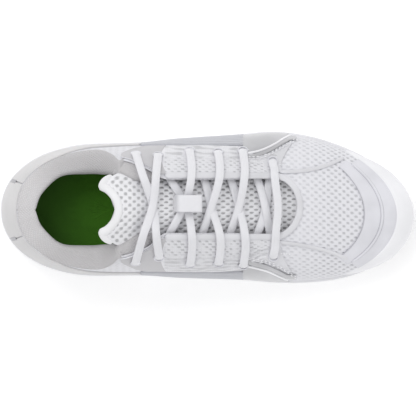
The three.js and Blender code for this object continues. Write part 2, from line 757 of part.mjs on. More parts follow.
function makeTongueTop() {
  const flap = sheet(4, 12, (u, v, k) => {
    const share = mix(-1, 1, v);
    const front = FOLD_X - GAP / 2 - FOLD_BACK * share ** 2 - (k ? 2 * FOLD_BACK : 0);
    const x = mix(front, tongueRim(share) + (BINDING / 2 + 2 * GAP) * (1 + 0.8 * share ** 2), u);
    return drape(x, flapY(x, share), FLAP_TOP_DEPTH + (k ? TONGUE_TOP : 0));
  });
  add("tongue_top", flap, materials.mesh);
  const count = 16;
  const rim = Array.from({ length: count + 1 }, (_, i) => {
    const share = mix(-0.97, 0.97, i / count);
    const x = tongueRim(share);
    return drape(x, flapY(x, share), FLAP_TOP_DEPTH + TONGUE_TOP / 2);
  });
  const section = new THREE.Shape().absarc(0, 0, BINDING / 2, 0, 2 * Math.PI);
  const path = new THREE.CatmullRomCurve3(rim);
  const tube = { extrudePath: path, steps: count, curveSegments: 4, bevelEnabled: false };
  add("tongue_binding", new THREE.ExtrudeGeometry(section, tube), materials.knit);
}

// ---- lace ------------------------------------------------------------------------------------------------
const ON_TOP = -(LACE_THICK / 2 + 2.5 * GAP); // depth of the lace's middle where it lies on an eyestay
const OVER = TONGUE_DEPTH - 1.5 * LACE_THICK - 2.5 * GAP; // the upper strand at a crossing
const BELOW = TONGUE_DEPTH - LACE_THICK / 2 - 1.5 * GAP; // the lower one
// Where the strands cross over the tongue, and where each goes in under the throat's edges.
const CROSSINGS = [
  [37.7, -1],
  [20.2, 0.3],
  [2, 0.3],
  [-14.3, 2.9],
  [-35.5, 1.6],
];
const DIVES = { lateral: [32.9, 15.6, -1.7, -24.1], medial: [32.9, 14.8, -3.1, -24.3] };
const FIRST_DIVES = { lateral: 39.4, medial: 40 };
const TAIL_END_X = 32;

const other = (name) => (name === "lateral" ? "medial" : "lateral");
const sign = (name) => (name === "lateral" ? 1 : -1);
const throatAt = (name) => (name === "lateral" ? THROAT_LATERAL : -THROAT_MEDIAL);

// A point of the route: a place in plan and a depth, with the direction of the lace's width.
function routePoint(x, y, depth) {
  const at = drape(x, y, depth);
  const fore = drape(x + 2, y, depth).sub(at).normalize();
  return { at, fore };
}

// The lace through an eyelet, from below to above, leaning towards the throat.
function throughEyelet(row, name) {
  const [x, y] = EYELET_ROWS[row][name];
  const axes = eyeletAxes(x, y);
  const point = (throatward, depth) => ({
    at: axes.top.clone().addScaledVector(axes.throatward, throatward).addScaledVector(axes.square, -depth),
    fore: axes.fore,
  });
  return [point(0.4, UNDER_LACE - 0.4), point(-0.8, LINING), point(-0.3, -0.2), point(4.2, ON_TOP)];
}

// Over the eyestay from an eyelet to just past the throat's edge.
function overEyestay(row, name) {
  const [x, y] = EYELET_ROWS[row][name];
  const s = sign(name);
  const edge = throatAt(name);
  return [
    ...throughEyelet(row, name),
    routePoint(x + 0.6, s * mix(Math.abs(y), edge, 0.55), ON_TOP),
    routePoint(x + 0.8, s * edge, ON_TOP - 2 * GAP),
  ];
}

// Under an eyestay from the throat's edge to an eyelet.
function underEyestay(row, name, diveX) {
  const [x, y] = EYELET_ROWS[row][name];
  const s = sign(name);
  const edge = throatAt(name) - 1.8;
  return [
    routePoint(diveX, s * edge, UNDER_LACE - 0.1),
    routePoint(mix(diveX, x, 0.75), s * mix(edge, Math.abs(y), 0.7), UNDER_LACE - 0.1),
  ];
}

// One of the two strands from the bar at the front to its tail at the back.
function strand(start) {
  const points = [];
  let name = start;
  points.push(...overEyestay(0, name).reverse());
  points.push(...underEyestay(0, name, FIRST_DIVES[name]).reverse());
  points.push(routePoint(...CROSSINGS[0], start === "lateral" ? BELOW : OVER));
  name = other(name);
  points.push(...underEyestay(1, name, DIVES[name][0]));
  for (let row = 1; row < 4; row += 1) {
    points.push(...overEyestay(row, name));
    points.push(routePoint(...CROSSINGS[row], name === "lateral" ? OVER : BELOW));
    name = other(name);
    points.push(...underEyestay(row + 1, name, DIVES[name][row]));
  }
  points.push(...overEyestay(4, name));
  points.push(routePoint(...CROSSINGS[4], name === "lateral" ? OVER : BELOW));
  name = other(name);
  points.push(...overEyestay(5, name).reverse());
  points.push(...tail(name));
  return points;
}

// The end of the lace, tucked down inside the shoe and forward along the edge of the insole.
function tail(name) {
  const x = EYELET_ROWS[5][name][0];
  const s = sign(name);
  const down = (run, z, ahead) => ({
    at: wall(s, run, INSIDE + LACE_THICK + GAP, z),
    fore: new THREE.Vector3(Math.cos(rad(ahead)), 0, Math.sin(rad(ahead))),
  });
  const rest = (run) => soleTop(run) + BOARD + INSOLE + LACE_WIDTH / 2 + 4 * GAP;
  return [
    down(x, 52, 0),
    down(x + 1, 42, 15),
    down(x + 5, 33, 50),
    down(x + 14, rest(x + 14), 90),
    ...[0.25, 0.5, 0.75, 1].map((u) => {
      const run = mix(x + 14, TAIL_END_X, u);
      return down(run, rest(run), 90);
    }),
  ];
}

// The whole lace as a curve whose frames keep its flat side to the upper.
class LacePath extends THREE.CatmullRomCurve3 {
  constructor(route) {
    super(route.map((p) => p.at));
    this.route = route;
  }

  getPointAt(u) {
    return this.getPoint(u);
  }

  computeFrenetFrames(steps) {
    const tangents = [];
    const normals = [];
    const binormals = [];
    for (let i = 0; i <= steps; i += 1) {
      const before = this.route[Math.max(i - 1, 0)].at;
      const after = this.route[Math.min(i + 1, steps)].at;
      const tangent = after.clone().sub(before).normalize();
      const width = this.route[i].fore.clone();
      width.addScaledVector(tangent, -width.dot(tangent)).normalize();
      tangents.push(tangent);
      normals.push(width);
      binormals.push(tangent.clone().cross(width));
    }
    return { tangents, normals, binormals };
  }
}

function makeLace() {
  const bar = routePoint(along(0.67), throatMiddle, ON_TOP);
  const route = [...strand("lateral").reverse(), bar, ...strand("medial")];
  const section = new THREE.Shape().absellipse(0, 0, LACE_WIDTH / 2, LACE_THICK / 2, 0, 2 * Math.PI);
  const tube = { extrudePath: new LacePath(route), steps: route.length - 1, curveSegments: 4, bevelEnabled: false };
  add("lace", new THREE.ExtrudeGeometry(section, tube), materials.lace);
  const ends = { medial: route[0], lateral: route[route.length - 1] };
  const length = 22;
  for (const [name, end] of Object.entries(ends)) {
    const aglet = add(`aglet_${name}`, new THREE.CylinderGeometry(2, 2, length, 10), materials.plastic);
    aglet.rotation.z = Math.PI / 2;
    aglet.position.copy(end.at).add(new THREE.Vector3(GAP + length / 2, 0, 0));
  }
}

// A webbing loop on the tongue that the fourth crossing passes through.
function makeKeeper() {
  const [x, y] = CROSSINGS[3];
  const length = 16.5;
  const width = 11;
  const high = TONGUE_DEPTH - GAP + 0.4;
  const thick = 1.2;
  const arch = new THREE.Shape();
  const foot = length / 2;
  arch.moveTo(-foot, 0);
  arch.lineTo(-foot, high - 3);
  arch.quadraticCurveTo(-foot, high, -foot + 3, high);
  arch.lineTo(foot - 3, high);
  arch.quadraticCurveTo(foot, high, foot, high - 3);
  arch.lineTo(foot, 0);
  arch.lineTo(foot - thick, 0);
  arch.lineTo(foot - thick, high - 3);
  arch.quadraticCurveTo(foot - thick, high - thick, foot - 3, high - thick);
  arch.lineTo(-foot + 3, high - thick);
  arch.quadraticCurveTo(-foot + thick, high - thick, -foot + thick, high - 3);
  arch.lineTo(-foot + thick, 0);
  arch.closePath();
  const keeper = new THREE.ExtrudeGeometry(arch, { depth: width, bevelEnabled: false, curveSegments: 4 });
  keeper.translate(0, 0, -width / 2);
  keeper.rotateX(Math.PI / 2);
  const mesh = add("lace_keeper", keeper, materials.lace);
  const rear = drape(x - foot, y, TONGUE_DEPTH);
  const front = drape(x + foot, y, TONGUE_DEPTH);
  mesh.rotation.y = Math.atan2(rear.z - front.z, front.x - rear.x);
  mesh.position.copy(rear).add(front).multiplyScalar(0.5);
  mesh.position.z += 3 * GAP;
}

makeOutsole();
makeMidsole();
makeShank();
makeInnerSole();
makeBumper();
makeToeBands();
makeVamp();
makeVampLining();
makeToePuff();
makeQuarters();
makeHeelCounter();
makeEyestays();
makeThroatBinding();
makeSidePanels();
makeVampStrips();
makeRearOverlays();
makeCollar();
makeTongue();
makeTongueTop();
makeLace();
makeKeeper();

export default group;
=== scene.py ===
"""A white cheer shoe for the left foot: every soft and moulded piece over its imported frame."""

import bmesh
import bpy
import numpy as np
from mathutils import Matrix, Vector


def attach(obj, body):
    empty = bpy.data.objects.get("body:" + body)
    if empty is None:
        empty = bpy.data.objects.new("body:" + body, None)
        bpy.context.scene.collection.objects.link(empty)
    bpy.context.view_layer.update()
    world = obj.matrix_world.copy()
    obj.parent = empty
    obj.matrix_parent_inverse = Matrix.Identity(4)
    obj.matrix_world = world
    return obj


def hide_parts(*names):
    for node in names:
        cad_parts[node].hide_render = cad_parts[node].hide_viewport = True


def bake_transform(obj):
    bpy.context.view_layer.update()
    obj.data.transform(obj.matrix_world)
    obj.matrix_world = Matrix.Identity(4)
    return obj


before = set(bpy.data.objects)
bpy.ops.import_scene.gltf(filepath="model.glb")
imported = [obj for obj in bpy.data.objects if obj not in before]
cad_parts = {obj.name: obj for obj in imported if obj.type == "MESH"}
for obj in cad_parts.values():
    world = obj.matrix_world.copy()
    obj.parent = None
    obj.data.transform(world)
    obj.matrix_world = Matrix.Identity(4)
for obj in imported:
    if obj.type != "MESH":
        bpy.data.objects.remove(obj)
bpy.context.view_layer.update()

bl_info = {
    "name": "Cheer Shoe",
    "version": (1, 0, 0),
    "blender": (4, 5, 0),
    "location": "3D View > Sidebar > Cheer Shoe",
    "description": "Builds the upper, sole, lace, collar and tongue of a white cheer shoe",
    "category": "Object",
}

# ---- sizes of the last, in millimetres, x from heel to toe, y to the lateral side --------------
LENGTH = 270.0


def along(share):
    """A place along the shoe: 0 at the heel's end and 1 at the toe's."""
    return (share - 0.5) * LENGTH


HEEL_X, BALL_X, TOE_X = along(0.241), along(0.667), 132.3
HEEL_REACH, TOE_REACH, CREST_X = HEEL_X + LENGTH / 2, TOE_X - BALL_X, along(0.722)
QUARTER_X, COLLAR_X, EYESTAY_BACK_X = along(0.595), along(0.307), along(0.289)
THROAT_X, THROAT_ROUND = along(0.657), 15.8
TONGUE_FRONT_X, PANEL_X, EYESTAY_FRONT_X = along(0.745), along(0.589), along(0.68)
HEEL_TURN = 90.0  # how far a run goes round the heel, one unit to a degree
ARCH = 0.8  # below 1 the section over the foot is squarer than an ellipse
HEEL_POWER, HEEL_LEAN, LEAN_FROM = 0.95, 0.0075, 30
GAP = 0.3  # left between neighbouring pieces
# depths under the upper's skin: its base, its inner face, the lace under the eyestay and the tongue
BASE, INSIDE, UNDER_LACE, TONGUE_DEPTH = 1.7, 5.1, 6.4, 9.35
# depths of the lace on the eyestay, over and under its crossing, and at the lining's hole
ON_TOP, OVER, BELOW, LINING = -2.05, 4.7, 7.6, 3.4
THROAT = {"lateral": 19.1, "medial": 16.8}
THROAT_MIDDLE = (THROAT["lateral"] - THROAT["medial"]) / 2
THROAT_HALF = (THROAT["lateral"] + THROAT["medial"]) / 2
SIGN = {"lateral": 1.0, "medial": -1.0}
HEM = {"lateral": 41.0, "medial": 41.8}
STRIP, LACE_WIDTH, LACE_THICK = 4.0, 5.4, 2.6
BOARD, INSOLE = 1.5, 4.0
LOW_EDGE = 89.9  # degrees down the skin, just above the sole
TO_SOLE = 60.0  # further out than any outline, so that a sheet runs down to LOW_EDGE
MM = 0.001


def through(stations):
    """A smooth curve through (x, y) stations: a cubic between neighbours, level beyond the ends."""
    xs, ys = (np.array(c, float) for c in zip(*stations))
    slopes = np.zeros(len(xs))
    slopes[1:-1] = (ys[2:] - ys[:-2]) / (xs[2:] - xs[:-2])

    def curve(x):
        x = np.clip(np.asarray(x, float), xs[0], xs[-1])
        i = np.clip(np.searchsorted(xs, x, side="right") - 1, 0, len(xs) - 2)
        w = xs[i + 1] - xs[i]
        u = (x - xs[i]) / w
        cubic = ys[i] + (ys[i + 1] - ys[i]) * u * u * (3 - 2 * u)
        return cubic + (1 - u) ** 2 * u * w * slopes[i] - u * u * (1 - u) * w * slopes[i + 1]

    return curve


def shares(stations):
    """The same, with its places given as shares of the length."""
    return through([(along(s), y) for s, y in stations])


middle = shares([(0, -1.3), (0.24, -1), (0.5, 0.3), (0.67, 0.5), (0.87, -3.7), (1, -5.3)])
widest = shares([(0, 43), (0.333, 43), (0.426, 45), (0.574, 47), (0.667, 48.8)])
sole_top = shares([(0, 23), (0.24, 22), (0.5, 18.25), (0.72, 14.5), (0.87, 15.2), (1, 17.5)])
crest = shares([(0.24, 93.5), (0.29, 92), (0.43, 79), (0.57, 66.5), (0.715, 54), (0.87, 43), (1, 38)])
topline = through([
    (HEEL_X - 90, 65), (HEEL_X - 49.5, 60), (HEEL_X - 10.8, 54),
    (HEEL_X, 54.5), (along(0.27), 64), (EYESTAY_BACK_X, 72),
])
collar_depth = through([(HEEL_X - 90, 14.5), (HEEL_X, 17.5), (along(0.262), 16), (COLLAR_X, 11.3)])


def floor_line(x):
    """Height of the sole's underside: a toe spring of 7 mm and a bevel of 2.5 mm at the heel."""
    toe = np.maximum(0, (x - along(0.722)) / (along(1) - along(0.722)))
    heel = np.maximum(0, (along(0.1) - x) / (along(0.1) - along(0)))
    return 7 * toe**2 + 2.5 * heel**2


def breadth(x, depth):
    """Half the outline's width: an ellipse over the toe, a squarer one round the heel."""
    base = widest(x) - depth
    toe = np.clip((x - BALL_X) / (TOE_REACH - depth), 0, 1)
    heel = np.clip((HEEL_X - x) / (HEEL_REACH - depth), 0, 1)
    return base * np.sqrt(1 - toe**2) * (1 - heel**2.1) ** (1 / 2.1)


def rise(x, depth):
    """Height of the crest over the sole's edge, which rounds down over the toe."""
    share = np.clip((x - CREST_X) / (TOE_X - CREST_X - depth), 0, 1)
    return (crest(x) - sole_top(x) - depth) * np.cbrt(1 - share**3)


def skin(side, run, t, depth=0.0):
    """The upper pushed in by depth: an ellipse squared off by ARCH, where t is 0 degrees at the crest and
    90 at the sole. run is x in front of the heel's start and the angle round the heel behind it, where
    the back draws in by the square of the height from LEAN_FROM."""
    side, run, t, depth = np.broadcast_arrays(*(np.asarray(a, float) for a in (side, run, t, depth)))
    s = np.sin(np.radians(t))
    c = np.maximum(0, np.cos(np.radians(t))) ** ARCH
    turn = np.radians(np.clip(run - HEEL_X + HEEL_TURN, 0, 90))
    fore, out = np.abs(np.cos(turn)) ** HEEL_POWER, np.abs(np.sin(turn)) ** HEEL_POWER
    behind = run < HEEL_X
    x = np.where(behind, HEEL_X - HEEL_REACH * fore, run)
    held = np.where(behind, HEEL_X, run)
    z = sole_top(x) + rise(held, depth) * c
    y = middle(x) + side * breadth(held, depth) * s * np.where(behind, out, 1)
    lean = HEEL_LEAN * (z - LEAN_FROM) ** 2
    x = np.where(behind, HEEL_X - (HEEL_REACH - depth - lean) * fore, run)
    return joined(x, y, z)


def angle_at(run, z):
    """The angle t of a height on the skin."""
    x = np.maximum(run, HEEL_X)
    share = np.clip((z - sole_top(x)) / rise(x, 0), 0, 1)
    return np.degrees(np.arccos(share ** (1 / ARCH)))


def plan_angle(x, y, depth=0.0):
    """The angle t of the skin above a distance y from the middle of the shoe."""
    return np.degrees(np.arcsin(np.clip(np.abs(y - middle(x)) / breadth(x, depth), 0, 1)))


def drape(x, y, depth=0.0):
    """The upper above a place in plan, at a depth."""
    side = np.where(np.asarray(y) < middle(x), -1.0, 1.0)
    return skin(side, x, plan_angle(x, y, depth), depth)


def toe_skin(share, angle, depth=0.0):
    """The toe in rings: share 1 is the sole's edge and angle 0 points forward."""
    ring = np.minimum(share, 0.9995)
    x = BALL_X + (TOE_REACH - depth) * ring * np.cos(np.radians(angle))
    y = middle(x) + (widest(BALL_X) - depth) * ring * np.sin(np.radians(angle))
    return drape(x, y, depth)


def band_share(edge, angle):
    """Edges of the toe bands as shares of the toe's rings, drawn out towards the sides."""
    front, side = ((0.655, 0.115), (0.79, 0.085), (0.897, 0.062))[edge]
    return np.minimum(0.985, front + side * (angle / 53) ** 2)


def wall(side, run, depth, z):
    """A point at that height, moved in level from the skin by depth."""
    t = angle_at(run, z)
    p, q = skin(side, run, t, 0), skin(side, run, t, 1)
    inward = (q - p) * (1, 1, 0)
    inward /= np.linalg.norm(inward, axis=-1, keepdims=True)
    p = p + inward * np.asarray(depth)[..., None]
    p[..., 2] = z
    return p


def quarter_edge(name):
    """Upper edge of the quarters beside the lacing, from the shoe's middle."""
    throat = THROAT[name]
    return through([(EYESTAY_BACK_X, 32), (along(0.333), 28.5), (along(0.36), 25),
                    (along(0.389), throat + 1), (along(0.407), throat)])


def mix(a, b, u):
    """a at 0, b at 1 and a straight line between."""
    return a + (b - a) * u


def smooth(a, b, x):
    """0 below a, 1 above b and a soft step between."""
    u = np.clip((np.asarray(x, float) - a) / (b - a), 0, 1)
    return u * u * (3 - 2 * u)


# ---- mesh helpers ------------------------------------------------------------------------------
FINISH = {}  # every material by a short name, filled by main()


def linear(code):
    """An sRGB hex colour as linear red, green, blue and alpha."""
    parts = np.array([int(code[i:i + 2], 16) for i in (1, 3, 5)]) / 255
    low, high = parts / 12.92, ((parts + 0.055) / 1.055) ** 2.4
    return (*np.where(parts <= 0.04045, low, high).tolist(), 1.0)


def lattice(rows, columns):
    """Four-sided faces of a grid of points, row by row."""
    a = (np.arange(rows - 1)[:, None] * columns + np.arange(columns - 1)[None]).ravel()
    return joined(a, a + 1, a + columns + 1, a + columns)


def copies(count, rows, columns):
    """The faces of that many equal grids, one after another."""
    first = np.arange(count)[:, None, None] * rows * columns
    return (lattice(rows, columns)[None] + first).reshape(-1, 4)


def piece(name, points, faces, finish, uv=None, values=None, closed=False, wall_mm=0.0):
    """Puts points (mm) and faces into a mesh with its face map, values at its points and a wall.
    An open sheet faces away from the shoe's middle line, and a closed body outwards."""
    points, faces = np.asarray(points, float).reshape(-1, 3), np.asarray(faces)
    corner = points[faces]
    centre = corner.mean(1)
    normal = np.cross(corner[:, 2] - corner[:, 0], corner[:, 3] - corner[:, 1])
    core = np.array([0, 0, 25.0]) * np.ones_like(centre)
    core[:, 0] = np.clip(centre[:, 0], HEEL_X, BALL_X)
    if not closed and (normal * (centre - core)).sum() < 0:
        faces = faces[:, ::-1]
    mesh = bpy.data.meshes.new(name)
    mesh.from_pydata((points * MM).tolist(), [], faces.tolist())
    mesh.polygons.foreach_set("use_smooth", np.ones(len(faces), bool))
    if uv is not None:
        layer = mesh.uv_layers.new(name="Cloth")
        layer.data.foreach_set("uv", np.asarray(uv, float).reshape(-1, 2)[faces.ravel()].ravel())
    for key, value in (values or {}).items():
        mesh.attributes.new(key, "FLOAT", "POINT").data.foreach_set(
            "value", np.broadcast_to(value, len(points)).astype(np.float32).ravel())
    if closed:
        work = bmesh.new()
        work.from_mesh(mesh)
        bmesh.ops.remove_doubles(work, verts=work.verts, dist=2e-6)
        bmesh.ops.recalc_face_normals(work, faces=work.faces)
        work.to_mesh(mesh)
        work.free()
    made = bpy.data.objects.new(name, mesh)
    bpy.context.scene.collection.objects.link(made)
    made.data.materials.append(FINISH[finish])
    if wall_mm:
        thick = made.modifiers.new("Wall", "SOLIDIFY")
        thick.thickness, thick.offset = wall_mm * MM, -1
    return made


def stand(obj, slot, *nodes, body="shoe"):
    """The piece rides on its body and stands for its frame nodes, which are hidden. Its slot is not used."""
    if nodes:
        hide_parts(*nodes)
    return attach(obj, body)


def refinish(node, finish):
    """Gives a piece that keeps the frame's shape its finish."""
    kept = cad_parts[node]
    kept.data.materials.clear()
    kept.data.materials.append(FINISH[finish])
    return kept


def lines(count, size, roll):
    """Parameters over 0 to 1 for a strip of that size in mm, with four of them in each rolled edge."""
    edge = roll / size * np.array([0, 0.12, 0.35, 0.65])
    return np.concatenate([edge, np.linspace(roll / size, 1 - roll / size, count), 1 - edge[::-1]])


def patch(name, finish, at, size, step, roll=0.9, drop=1.0, relief=None, values=None, wall_mm=0.5):
    """A sheet with rounded edges: at(u, v, depth) is its surface over 0 to 1. Near an edge it sinks by
    drop times a quarter circle of that roll, and relief(u, v) stands it proud where it is positive."""
    (wide, high), edge = size, roll
    us, vs = lines(max(4, int(wide / step)), wide, edge), lines(max(4, int(high / step)), high, edge)
    u, v = np.meshgrid(us, vs, indexing="ij")
    near = np.minimum(np.minimum(u, 1 - u) * wide, np.minimum(v, 1 - v) * high)
    share = 1 - np.clip(near / edge, 0, 1)
    depth = drop * (1 - np.sqrt(1 - share**2))
    if relief is not None:
        depth = depth - relief(u, v) * (1 - share)
    points = at(u, v, depth)
    stored = {k: f(u, v).ravel() for k, f in (values or {}).items()}
    return piece(name, points, lattice(*u.shape), finish, joined(u * wide, v * high),
                 stored, wall_mm=wall_mm)


def joined(*columns):
    """Numbers side by side as coordinates, stretched to one shape."""
    return np.stack(np.broadcast_arrays(*columns), -1)


def unit(v):
    """The same direction with a length of 1."""
    return v / np.maximum(np.linalg.norm(v, axis=-1, keepdims=True), 1e-12)


def heading(path):
    """The direction of a path at each of its points."""
    return unit(np.gradient(path, axis=0))


def distances(path):
    """How far along a path each of its points lies."""
    return np.concatenate([[0], np.cumsum(np.linalg.norm(np.diff(path, axis=0), axis=-1))])


def spline(points, step):
    """Points along a smooth curve through the given ones: a cubic whose speed follows the square root
    of each chord, then spaced evenly by step. Extra columns are carried along."""
    p = np.asarray(points, float)
    p = np.vstack([2 * p[0] - p[1], p, 2 * p[-1] - p[-2]])
    gaps = np.maximum(np.linalg.norm(np.diff(p[:, :3], axis=0), axis=1), 1e-6) ** 0.5
    knots = np.concatenate([[0], np.cumsum(gaps)])
    t = np.concatenate([np.linspace(a, b, 24, endpoint=False) for a, b in zip(knots[1:-2], knots[2:-1])]
                       + [[knots[-2]]])
    i = np.clip(np.searchsorted(knots, t, side="right") - 1, 1, len(knots) - 3)

    def blend(a, b, ta, tb):
        return ((tb - t)[:, None] * a + (t - ta)[:, None] * b) / (tb - ta)[:, None]

    k = [knots[i + j] for j in (-1, 0, 1, 2)]
    q = [p[i + j] for j in (-1, 0, 1, 2)]
    a = [blend(q[j], q[j + 1], k[j], k[j + 1]) for j in range(3)]
    b = [blend(a[0], a[1], k[0], k[2]), blend(a[1], a[2], k[1], k[3])]
    line = blend(b[0], b[1], k[1], k[2])
    far = distances(line[:, :3])
    even = np.linspace(0, far[-1], max(2, int(round(far[-1] / step)) + 1))
    return joined(*(np.interp(even, far, column) for column in line.T))


def sweep(name, finish, path, across, section):
    """A profile carried along a path: across is the direction of its width at each point, section(theta)
    gives width and height over a full turn, and each end closes to its middle."""
    tangent = heading(path)
    wide = unit(across - (across * tangent).sum(-1, keepdims=True) * tangent)
    up = np.cross(tangent, wide)
    theta = np.linspace(0, 2 * np.pi, section[0] + 1)
    w, h = section[1](theta)
    scale = np.ones((len(path), 1, 1))
    scale[[0, -1]] = 0
    scale[[1, -2]] = 0.75
    rings = path[:, None] + scale * (w[None, :, None] * wide[:, None] + h[None, :, None] * up[:, None])
    far = distances(path)
    girth = distances(joined(w, h))
    uv = joined(far[:, None], girth[None])
    return piece(name, rings, lattice(len(path), len(theta)), finish, uv, closed=True)


def capped(rings):
    """The rings with both ends closed to their middles."""
    ends = rings[[0, -1]].mean(1, keepdims=True) * np.ones((1, rings.shape[1], 1))
    return np.concatenate([ends[:1], rings, ends[1:]])


def oval(width, height, power=1.0):
    """A rounded section: the power squares it off below 1."""
    def at(theta):
        c, s = np.cos(theta), np.sin(theta)
        return (width / 2 * np.sign(c) * np.abs(c) ** power, height / 2 * np.sign(s) * np.abs(s) ** power)
    return at


def surface_path(xy, depth, step=1.0):
    """A curve drawn in plan and laid on the upper, with the direction square to the surface, which is
    the cross product of two short steps over it."""
    x, y = spline(xy, step).T
    at = drape(x, y, depth)
    d = 0.5
    square = unit(np.cross(drape(x + d, y, 0) - drape(x - d, y, 0), drape(x, y + d, 0) - drape(x, y - d, 0)))
    return at, square


def seam_tube(name, finish, xy, depth, section, step=1.2):
    """A cord or piping of that section, laid along a curve on the upper."""
    at, square = surface_path(xy, depth, step)
    return sweep(name, finish, at, np.cross(heading(at), square), section)


def stitches(name, finish, routes, length, depth):
    """Rows of thread: each stitch is a small spindle laid along its seam, a third of its length apart
    from the next, every one a copy of the same six rings. Its radius is the root of a sine."""
    rings, around, fattest = 6, 7, 0.34
    ring, turn = np.linspace(0, 1, rings), np.linspace(0, 2 * np.pi, around)
    fat = fattest * np.sin(np.pi * ring) ** 0.5
    points, count = [], 0
    for xy in routes:
        at, square = surface_path(xy, depth, length * 1.3)
        ahead = heading(at)
        side = np.cross(ahead, square)
        body = (at[:, None, None] + ahead[:, None, None] * ((ring - 0.5) * length)[None, :, None, None]
                + fat[None, :, None, None] * (side[:, None, None] * np.cos(turn)[None, None, :, None]
                                              + square[:, None, None] * np.sin(turn)[None, None, :, None]))
        points.append(body.reshape(-1, 3))
        count += len(at)
    return piece(name, np.vstack(points), copies(count, rings, around), finish, closed=True)


def holes(u, v, pitch_u, pitch_v, low=0.30, high=0.85, stretch=1.0):
    """A staggered net: the product of two cosines peaks at each hole, and a soft step cuts it out.
    Powers of the cosines stretch the holes along u."""
    a, b = np.cos(2 * np.pi * u / pitch_u), np.cos(2 * np.pi * v / pitch_v)
    return smooth(low, high, np.sign(a * b) * np.abs(a) ** (1 / stretch) * np.abs(b) ** stretch)


def wander(a, b, scale, seed):
    """Gentle unevenness between -1 and 1: a sum of six turned sine waves with fixed phases."""
    draw = np.random.default_rng(seed)
    turn, phase, size = draw.uniform(0, np.pi, 6), draw.uniform(0, 6.3, 6), draw.uniform(0.6, 1.6, 6)
    waves = [np.sin(2 * np.pi * s / scale * (a * np.cos(t) + b * np.sin(t)) + p)
             for t, p, s in zip(turn, phase, size)]
    return np.sum(waves, 0) / 3


# ---- materials ---------------------------------------------------------------------------------
def put(tree, kind, inputs=None, **settings):
    """Adds one shader node with its settings; an input takes a value, or the output that feeds it."""
    made = tree.nodes.new("ShaderNode" + kind)
    for name, value in settings.items():
        setattr(made, name, value)
    for key, value in (inputs or {}).items():
        socket = made.inputs[key]
        if isinstance(value, bpy.types.NodeSocket):
            tree.links.new(value, socket)
        else:
            socket.default_value = value
    return made


def start(name, roughness, ior=1.5, **more):
    """A new material with its shader and the cloth's face map in millimetres."""
    made = bpy.data.materials.new(name)
    made.use_nodes = True
    tree = made.node_tree
    shader = tree.nodes["Principled BSDF"]
    shader.inputs["Roughness"].default_value = roughness
    shader.inputs["IOR"].default_value = ior
    for key, value in more.items():
        shader.inputs[key.replace("_", " ")].default_value = value
    return made, tree, shader


def darker(colour, share):
    """The share of a colour's light that is left, with full alpha."""
    return (*(c * share for c in tuple(colour)[:3]), 1.0)


def surface(tree, shader, base, shade, lit, height, strength, depth):
    """Colour from its shaded share up to its full light, and relief of that depth in mm."""
    colour = put(tree, "Mix", {"Factor": lit, 6: darker(base, shade), 7: base}, data_type="RGBA")
    bump = put(tree, "Bump", {"Height": height, "Strength": strength, "Distance": depth * MM})
    tree.links.new(colour.outputs[2], shader.inputs["Base Color"])
    tree.links.new(bump.outputs[0], shader.inputs["Normal"])


def reckon(tree, operation, *terms):
    """The output of one operation on its terms, each a number or another output."""
    return put(tree, "Math", dict(enumerate(terms)), operation=operation).outputs[0]


def weave(name, base, shade, painted_shade_attribute=None, rib=0.9, turn=0.0, roughness=0.9, depth=0.25, grain=0.4,
          sheen=0.25, stagger=0.0, contrast=0.0):
    """Cloth: threads run as fine waves over the face map, painted shade darkens the holes that its named
    point values mark and the troughs between ribs, and a soft noise makes the yarn uneven."""
    made, tree, shader = start(name, roughness, Sheen_Weight=sheen, Sheen_Roughness=0.5)
    face = put(tree, "UVMap", uv_map="Cloth").outputs[0]
    turned = put(tree, "Mapping", {"Vector": face, "Rotation": (0, 0, turn)}).outputs[0]
    per_rib = 0.314 / rib  # bands of scale 1 repeat every 0.314
    wave = put(tree, "TexWave", {"Vector": turned, "Scale": per_rib, "Distortion": stagger, "Detail": 1.0,
                                 "Detail Scale": 2.0}, wave_type="BANDS", bands_direction="Y")
    cross = put(tree, "TexWave", {"Vector": turned, "Scale": per_rib / 0.8, "Distortion": stagger},
                wave_type="BANDS", bands_direction="X")
    fleck = put(tree, "TexNoise", {"Vector": face, "Scale": grain, "Detail": 3.0})
    uneven = put(tree, "MapRange", {"Value": fleck.outputs["Fac"], 1: 0.3, 2: 0.7, 3: 0.93, 4: 1.0})
    yarn = reckon(tree, "MULTIPLY", wave.outputs["Fac"], cross.outputs["Fac"])
    lift = reckon(tree, "MULTIPLY_ADD", yarn, contrast, 1 - contrast)
    lit = reckon(tree, "MULTIPLY", lift, uneven.outputs[0])
    # painted shade: the named point values darken the cloth towards its shade colour
    if painted_shade_attribute:
        hole = put(tree, "Attribute", attribute_name=painted_shade_attribute)
        lit = reckon(tree, "MULTIPLY", lit, reckon(tree, "SUBTRACT", 1.0, hole.outputs["Fac"]))
    surface(tree, shader, base, shade, lit, yarn, 0.5, depth)
    return made


def moulded(name, base, shade, roughness, grain, depth, cells=False, **more):
    """Coated or moulded sheet: a pebbled or smooth grain in object space, with faint cloudy shading."""
    made, tree, shader = start(name, roughness, **more)
    place = put(tree, "TexCoord").outputs["Object"]
    if cells:
        height = put(tree, "TexVoronoi", {"Vector": place, "Scale": grain}).outputs["Distance"]
    else:
        height = put(tree, "TexNoise", {"Vector": place, "Scale": grain, "Detail": 2.0}).outputs["Fac"]
    cloud = put(tree, "TexNoise", {"Vector": place, "Scale": 40.0, "Detail": 3.0}).outputs["Fac"]
    tone = put(tree, "MapRange", {"Value": cloud, 1: 0.35, 2: 0.65})
    rough = put(tree, "MapRange", {"Value": cloud, 1: 0.3, 2: 0.7, 3: roughness - 0.05, 4: roughness + 0.07})
    tree.links.new(rough.outputs[0], shader.inputs["Roughness"])
    surface(tree, shader, base, shade, tone.outputs[0], height, 0.35, depth)
    return made


